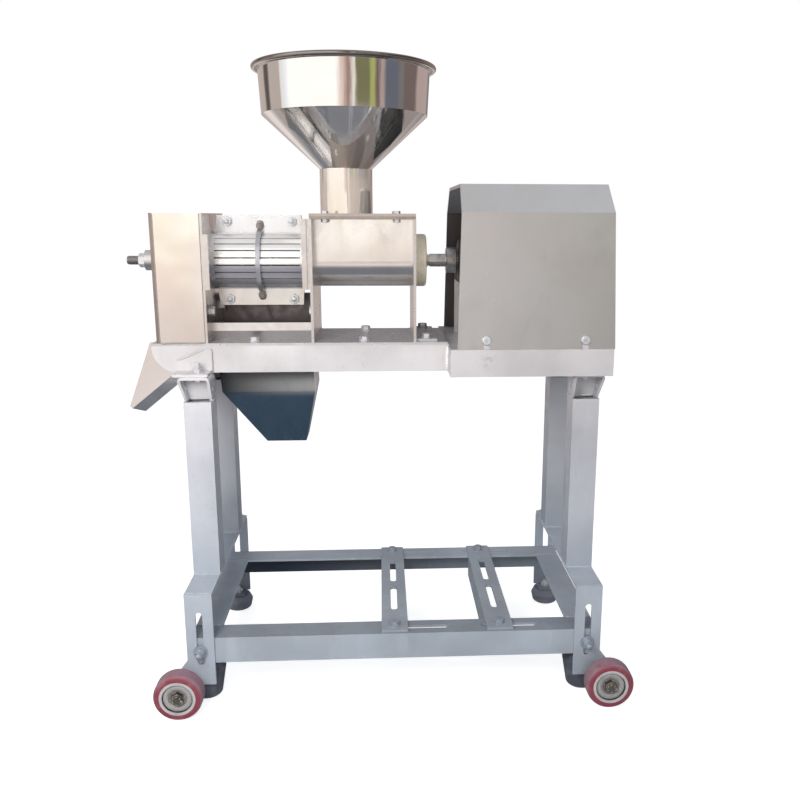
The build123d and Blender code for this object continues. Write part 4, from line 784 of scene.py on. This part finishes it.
nut_inner, nut_outer, nut_seat, tooth_height = 0.0052, 0.0068, 0.0058 - 0.008, 0.0028
teeth, tooth_start, tooth_share, tooth_taper = 6, 0.2, 0.6, 0.97
pin_depth, pin_radius = 0.0016, 0.0011
pin_bends = [Vector(bend) for bend in (
    (-0.0085, -0.0025, 0.0035), (-0.0078, -0.0006, 0.0015), (-0.006, 0, 0), (0, 0, 0), (0.006, 0, 0),
    (0.0078, -0.0006, -0.0012), (0.0086, -0.0028, -0.0034),
)]
crowns, pins = bmesh.new(), bmesh.new()
for side in sides:
    seat = wheel_face(side) + Vector((0, nut_seat, 0))
    for tooth in range(teeth):
        outline = []
        for radius, steps in ((nut_inner, (0, 1, 2)), (nut_outer, (2, 1, 0))):
            for step in steps:
                angle = tau / teeth * (tooth + tooth_start + tooth_share * step / 2)
                outline.append(Vector((radius * cos(angle), 0, radius * sin(angle))))
        foot = [seat + point for point in outline]
        head = [seat + tooth_taper * point - Vector((0, tooth_height, 0)) for point in outline]
        skin(crowns, [foot, head])
    pin = seat - Vector((0, pin_depth, 0))
    add_bent_wire(pins, [pin + bend for bend in pin_bends], pin_radius)
hand_over("castle_nut_crowns", crowns, brass, "frame")
hand_over("split_pins", pins, brass, "frame")
print("castle nuts with", teeth, "teeth")

# %% [markdown]
# ## Welds
# The stand and the press are welded by hand. A bead of weld is a row of overlapping ripples that is
# never quite straight. A bump in the paint would look flat from the side, so it is made as a tube along
# the joint whose radius swells at each ripple, with a little chance in it. It sits half sunk in the
# corner that it fills.

# %% Beads of weld
def add_bead(mesh, start, end, radius, ripple=0.0032, around=8):
    """Add a bead of weld between two points, in metres."""
    along = end - start
    place = turning(start, along)
    steps = max(6, round(along.length / ripple * 4))
    phase = chance.random()
    drift = Vector((0, 0))
    rings = []
    for k in range(steps + 1):
        z = along.length * k / steps
        swell = 0.82 + 0.26 * abs(sin(pi * (z / ripple + phase))) + chance.uniform(-0.05, 0.05)
        fade = min(1.0, 0.35 + min(z, along.length - z) / (2 * radius))
        drift = 0.8 * drift + radius * 0.12 * Vector((chance.uniform(-1, 1), chance.uniform(-1, 1)))
        r = radius * swell * fade
        rings.append([
            place @ Vector((drift.x + r * cos(tau * i / around), drift.y + r * sin(tau * i / around), z))
            for i in range(around)
        ])
    skin(mesh, rings)


weld_paint = silver_paint("weld_paint", 0.95)
leg_inner, leg_outer, leg_side = 267.4, 307.4, 40
leg_foot, bracket_foot = 177.3, 446.2
mesh = bmesh.new()
for sign in (-1, 1):
    inner, outer = sign * leg_inner, sign * leg_outer
    for front in (-120.3, 52.9):
        back, edge, mid = front + leg_side, front + 11, front + 28
        add_bead(mesh, at(inner, front, leg_foot), at(outer, front, leg_foot), 0.0022)
        add_bead(mesh, at(inner, front, leg_foot), at(inner, back, leg_foot), 0.0022)
        add_bead(mesh, at(inner, edge, bracket_foot), at(inner, back, bracket_foot), 0.0018)
        add_bead(mesh, at(outer, edge, bracket_foot), at(outer, back, bracket_foot), 0.0018)
        inside, outside = at(inner + sign * 4, mid, bracket_foot), at(outer - sign * 4, mid, bracket_foot)
        add_bead(mesh, inside, outside, 0.0018)
    add_bead(mesh, at(inner, -186.6, 175.5), at(outer, -186.6, 176.2), 0.0020)
    add_bead(mesh, at(inner, 139.8, 173.2), at(sign * 303, 139.8, 173.2), 0.0022)
    add_bead(mesh, at(sign * 274.4, -186.6, 59), at(sign * 300.4, -186.6, 59), 0.0011)
add_bead(mesh, at(-321, -87, 502), at(-280, -87, 519.3), 0.0016)
add_bead(mesh, at(-270.2, -85, 486), at(-270.2, -85, 519), 0.0018)
hand_over("stand_welds", mesh, weld_paint, "frame")
print("stand welded")

# %% [markdown]
# The long rails meet the wider frame of the drive in a butt joint, whose thick beads were left bright.
# The platform's corners are welded too, and those beads slide with it.

# %% Rail and platform welds
bare_weld = silver_paint("bare_weld", 1.4)
joint_y, flange_width = 83.3, 38
mesh = bmesh.new()
for sign in (-1, 1):
    y = sign * joint_y
    add_bead(mesh, at(81.6, y, 485), at(81.6, y, 522), 0.0032)
    add_bead(mesh, at(82, y, 523.6), at(82, y - sign * flange_width, 523.6), 0.0020)
hand_over("rail_welds", mesh, bare_weld, "frame")

mesh = bmesh.new()
for sign in (-1, 1):
    for y in (-146.6, 99.8):
        add_bead(mesh, at(sign * 264, y, 106), at(sign * 301, y, 106), 0.0016)
hand_over("platform_welds", mesh, weld_paint, "platform")
print("rails and platform welded")

# %% [markdown]
# The press is welded with a finer, steel bright bead along the feet of its plates and up the edges of
# the discharge box. The hoop round the cage was burnt on at both ends with a few short, lumpy beads.

# %% Press welds
weld_steel = stainless("weld_steel", (0.62, 0.59, 0.56), 0.3, (6, 6, 6), 0.0, 0.5)
burnt_weld = stainless("burnt_weld", (0.56, 0.51, 0.48), 0.36, (6, 6, 6), 0.0, 0.6)
plate_foot, lump, lump_ripple = 527.6, 0.0024, 0.004
mesh = bmesh.new()
for x in (-349.5, -274.5, -122, -118, 30.5, 34.5):
    add_bead(mesh, at(x, -82, plate_foot), at(x, 82, plate_foot), 0.0013)
add_bead(mesh, at(-344, -83, 527.8), at(-279, -83, 527.8), 0.0014)
for x in (-344.5, -278.5):
    add_bead(mesh, at(x, -83, 528), at(x, -83, 715), 0.0007, 0.0024)
hand_over("press_welds", mesh, weld_steel, "frame")

mesh = bmesh.new()
for low, high in ((587, 597), (693, 703)):
    for x in (-205.9, -198.3):
        add_bead(mesh, at(x, -6, low), at(x, -6, high), lump, lump_ripple)
for z in (587, 703):
    add_bead(mesh, at(-207, -6, z), at(-197, -6, z), lump, lump_ripple)
for z in (588.5, 592, 595.5, 694.5, 698, 701.5):
    add_bead(mesh, at(-206, -11.5, z), at(-198, -11.5, z), lump, lump_ripple)
hand_over("hoop_welds", mesh, burnt_weld, "frame")
print("press welded")

# %% [markdown]
# ## Floor and world
# The machine stands on a plain pale floor. The world is white to the camera and to reflections, and a
# dim blue grey as a light. The floor is lifted to white in the same way, and keeps the shadow. Light
# Path tells the rays apart, so a white background needs no more light on the machine.

# %% Floor and world
def link_to_stage(name, points, faces, material):
    """Make a piece of the studio, which isn't part of the machine."""
    data = bpy.data.meshes.new(name)
    data.from_pydata(points, [], faces)
    data.materials.append(material)
    piece = bpy.data.objects.new(name, data)
    bpy.context.scene.collection.objects.link(piece)
    return piece


def seen_directly(tree):
    """One where the camera, a reflection or a refraction looks, zero for light."""
    path = tree.nodes.new("ShaderNodeLightPath")
    first, second = (tree.nodes.new("ShaderNodeMath") for _ in range(2))
    first.operation = second.operation = "MAXIMUM"
    tree.links.new(path.outputs["Is Camera Ray"], first.inputs[0])
    tree.links.new(path.outputs["Is Glossy Ray"], first.inputs[1])
    tree.links.new(first.outputs[0], second.inputs[0])
    tree.links.new(path.outputs["Is Transmission Ray"], second.inputs[1])
    return second.outputs[0]


floor_reach, floor_lift, sky_light = 14, 0.74, (0.41, 0.44, 0.48, 1)
pale = Finish("pale_floor", (0.72, 0.72, 0.72), 0.0, 0.9)
pale.shader.inputs["Specular IOR Level"].default_value = 0.0
pale.shader.inputs["Emission Color"].default_value = (1, 1, 1, 1)
pale.feed(pale.shader.inputs["Emission Strength"], pale.both(seen_directly(pale.tree), floor_lift))
floor_corners = [(x * floor_reach, y * floor_reach, 0) for x, y in ((-1, -1), (1, -1), (1, 1), (-1, 1))]
link_to_stage("floor", floor_corners, [(0, 1, 2, 3)], pale.done())

world = bpy.data.worlds.new("studio")
bpy.context.scene.world = world
world.use_nodes = True
sky = world.node_tree.nodes.new("ShaderNodeMix")
sky.data_type = "RGBA"
sky.inputs[6].default_value = sky_light
sky.inputs[7].default_value = (1, 1, 1, 1)
world.node_tree.links.new(seen_directly(world.node_tree), sky.inputs[0])
world.node_tree.links.new(sky.outputs[2], world.node_tree.nodes["Background"].inputs["Color"])
print("floor", 2 * floor_reach, "m wide")

# %% [markdown]
# ## What the steel reflects
# Polished steel has no colour of its own to speak of: it shows what stands round it. A picture wrapped
# round the world could do that, but cards can be painted band by band. There are three: a tall ring
# round the studio, a dull sheet over the floor and a pale ceiling. Only reflections see them, and they
# give no light and no shadow. The ring's soft upright bands are counted in turns, from the left at 0,
# through the front at 0.25, to the right at 0.5.

# %% Colours of the cards
white, cream, peach = (1.28, 1.28, 1.26), (0.92, 0.88, 0.82), (0.80, 0.62, 0.55)
brown, soot, olive = (0.40, 0.28, 0.25), (0.12, 0.105, 0.095), (0.22, 0.22, 0.12)
lime, slate, bark = (0.46, 0.50, 0.18), (0.15, 0.165, 0.21), (0.19, 0.145, 0.14)
blush, dusk, beige = (0.48, 0.38, 0.36), (0.21, 0.20, 0.205), (0.56, 0.49, 0.46)
icy, plain_grey, cellar = (0.96, 1.02, 1.10), (0.62, 0.61, 0.60), (0.06, 0.05, 0.05)
upper_bands = [
    (0.0, cream), (0.02, icy), (0.045, white), (0.222, white), (0.246, peach), (0.262, brown),
    (0.272, brown), (0.279, cream), (0.29, cream), (0.297, olive), (0.34, olive), (0.35, lime), (0.362, lime),
    (0.37, bark), (0.38, bark), (0.386, blush), (0.402, blush), (0.41, slate), (0.462, slate), (0.47, dusk),
    (0.486, dusk), (0.496, bark), (0.56, bark), (0.572, blush), (0.66, blush), (0.69, dusk), (0.78, dusk),
    (0.81, beige), (0.89, beige), (0.905, soot), (0.925, soot), (0.94, beige),
]
cover_bands = [
    (0.0, beige), (0.26, (0.70, 0.636, 0.645)), (0.285, (0.655, 0.605, 0.61)),
    (0.297, (0.43, 0.455, 0.39)), (0.335, (0.40, 0.425, 0.36)), (0.40, (0.46, 0.45, 0.43)), (0.5, beige),
]
trough_glow = [
    (0.0, (0.60, 0.55, 0.52)), (0.39, (0.72, 0.65, 0.61)), (0.47, (0.92, 0.78, 0.70)),
    (0.56, (1.08, 0.91, 0.80)), (0.63, (1.36, 1.36, 1.30)),
]
box_glow = [
    (0.0, (0.68, 0.61, 0.56)), (0.29, (0.94, 0.80, 0.74)), (0.48, (1.10, 0.89, 0.80)),
    (0.60, (1.24, 1.21, 0.93)), (0.72, (1.28, 1.26, 1.15)),
]
cage_glow = [
    (0.0, (0.86, 0.80, 0.76)), (0.25, (1.0, 0.95, 0.91)), (0.45, (1.25, 1.25, 1.25)),
    (1.0, (1.28, 1.28, 1.28)),
]
ground_rings = [
    (0.0, (0.19, 0.20, 0.23)), (0.30, (0.20, 0.21, 0.24)), (0.42, (0.46, 0.44, 0.44)),
    (0.55, (0.95, 0.87, 0.86)), (1.0, (0.80, 0.73, 0.69)),
]
print(len(upper_bands), "stops round the ring")

# %% [markdown]
# The upper part of the ring shows in the hopper. Below it, each flat front of the press looks at its own
# part of the ring, which glows brighter with height: first the discharge box, then the cage, then the
# trough, and at the right the cover, which sees wide bands. A slow noise makes all edges waver.

# %% Ring card
def card_finish(name):
    """Finish with no shader yet."""
    card = Finish(name, (0.5, 0.5, 0.5), 0.0, 1.0)
    card.tree.nodes.remove(card.shader)
    return card


def light_up(card, colour):
    """Let a card glow in its colours."""
    glow = card.add("ShaderNodeEmission")
    card.feed(glow.inputs["Color"], colour)
    card.tree.links.new(glow.outputs[0], card.tree.nodes["Material Output"].inputs["Surface"])
    return card.material


card_radius, card_height, panels = 3.5, 5.0, 96
after_box, after_cage, after_trough = (0.206, 0.214), (0.231, 0.236), (0.257, 0.266)
green_start, green_end, warm_start = (0.29, 0.30), (0.375, 0.385), (0.285, 0.30)
card = card_finish("ring_card")
bearing = card.add("ShaderNodeTexGradient", gradient_type="RADIAL")
card.feed(bearing.inputs["Vector"], card.place)
height = card.axis("Z")
turn = card.sum("ADD", bearing.outputs["Fac"], card.cut(card.noise(5, 3), 0.3, 0.7, -0.004, 0.004))

low_shade = card.mix(card.cut(turn, *after_box), card.ramp(height, box_glow), card.ramp(height, cage_glow))
low_shade = card.mix(card.cut(turn, *after_cage), low_shade, card.ramp(height, trough_glow))
low_shade = card.mix(card.cut(turn, *after_trough), low_shade, card.ramp(turn, cover_bands))

over_green = card.both(card.cut(height, 1.20, 1.26), card.cut(turn, *green_start))
over_green = card.both(over_green, card.cut(turn, *green_end, 1, 0))
behind_neck = card.both(card.cut(height, 0.86, 0.92, 1, 0), card.cut(turn, *warm_start))
upper_shade = card.mix(over_green, card.ramp(turn, upper_bands), plain_grey)
upper_shade = card.mix(behind_neck, upper_shade, blush)

above = card.cut(height, 0.80, 0.84)
for start, low in ((0.257, 0.69), (0.330, 0.54)):
    beside = card.both(card.cut(height, low, low + 0.04), card.cut(turn, start, start + 0.005))
    above = card.sum("MAXIMUM", above, beside)
ring_finish = light_up(card, card.mix(above, low_shade, upper_shade))

rim = [(card_radius * cos(tau * i / panels), card_radius * sin(tau * i / panels)) for i in range(panels)]
ring_points = [(x, y, 0.01) for x, y in rim] + [(x, y, card_height) for x, y in rim]
ring_faces = [(i, (i + 1) % panels, panels + (i + 1) % panels, panels + i) for i in range(panels)]
ring = link_to_stage("reflector_ring", ring_points, ring_faces, ring_finish)
print("ring of", panels, "panels")

# %% [markdown]
# The sheet over the floor is dark under the machine and to its right, and pale further out, which gives
# the hopper's cone its dark heart. The ceiling is nearly even, for the slopes of the cover.

# %% Ground and ceiling cards
card = card_finish("ground_card")
distance = card.add("ShaderNodeVectorMath", operation="LENGTH")
card.feed(distance.inputs[0], card.place)
shade = card.ramp(card.sum("DIVIDE", distance.outputs["Value"], card_radius), ground_rings)
shade = card.mix(card.cut(card.axis("X"), 0.1, 1.3, 0, 0.7), shade, cellar)
disc = [tuple(range(panels))]
ground = link_to_stage("reflector_ground", [(*point, 0.004) for point in rim], disc, light_up(card, shade))

card = card_finish("ceiling_card")
shade = card.mix(card.noise(0.5, 1), (0.58, 0.58, 0.60), (0.66, 0.66, 0.67))
ceiling = link_to_stage(
    "reflector_ceiling", [(*point, card_height) for point in rim], disc, light_up(card, shade))

for piece in (ring, ground, ceiling):
    piece.location = (home.x, home.y, 0)
    piece.visible_camera = piece.visible_diffuse = False
    piece.visible_shadow = piece.visible_transmission = False
print("three cards round the studio")

# %% [markdown]
# ## Lamps
# A soft key light stands at the front left, and a weaker, wider fill further away at the right. They
# are square area lamps, as a studio's soft boxes are, and strong enough that a colour looks about as
# it is written. The Standard view keeps it so. Reflections don't show the lamps, since the cards are
# there for that.

# %% Lamps
def soft_lamp(name, place, target, size, power, colour):
    """Put a square lamp at a place and turn it to a target."""
    lamp = bpy.data.lights.new(name, "AREA")
    lamp.shape = "SQUARE"
    lamp.size = size
    lamp.energy = power
    lamp.color = colour
    holder = bpy.data.objects.new(name, lamp)
    holder.location = place
    holder.rotation_euler = (target - place).to_track_quat("-Z", "Y").to_euler()
    holder.visible_glossy = False
    bpy.context.scene.collection.objects.link(holder)


soft_lamp("key", at(-420, -980, 900), at(-100, 0, 420), 0.4, 9.4, (1.0, 0.985, 0.97))
soft_lamp("fill", at(250, -1700, 900), at(0, 0, 450), 0.9, 6.5, (1.0, 0.99, 0.98))
bpy.context.scene.view_settings.view_transform = "Standard"
print("key and fill lamps lit")
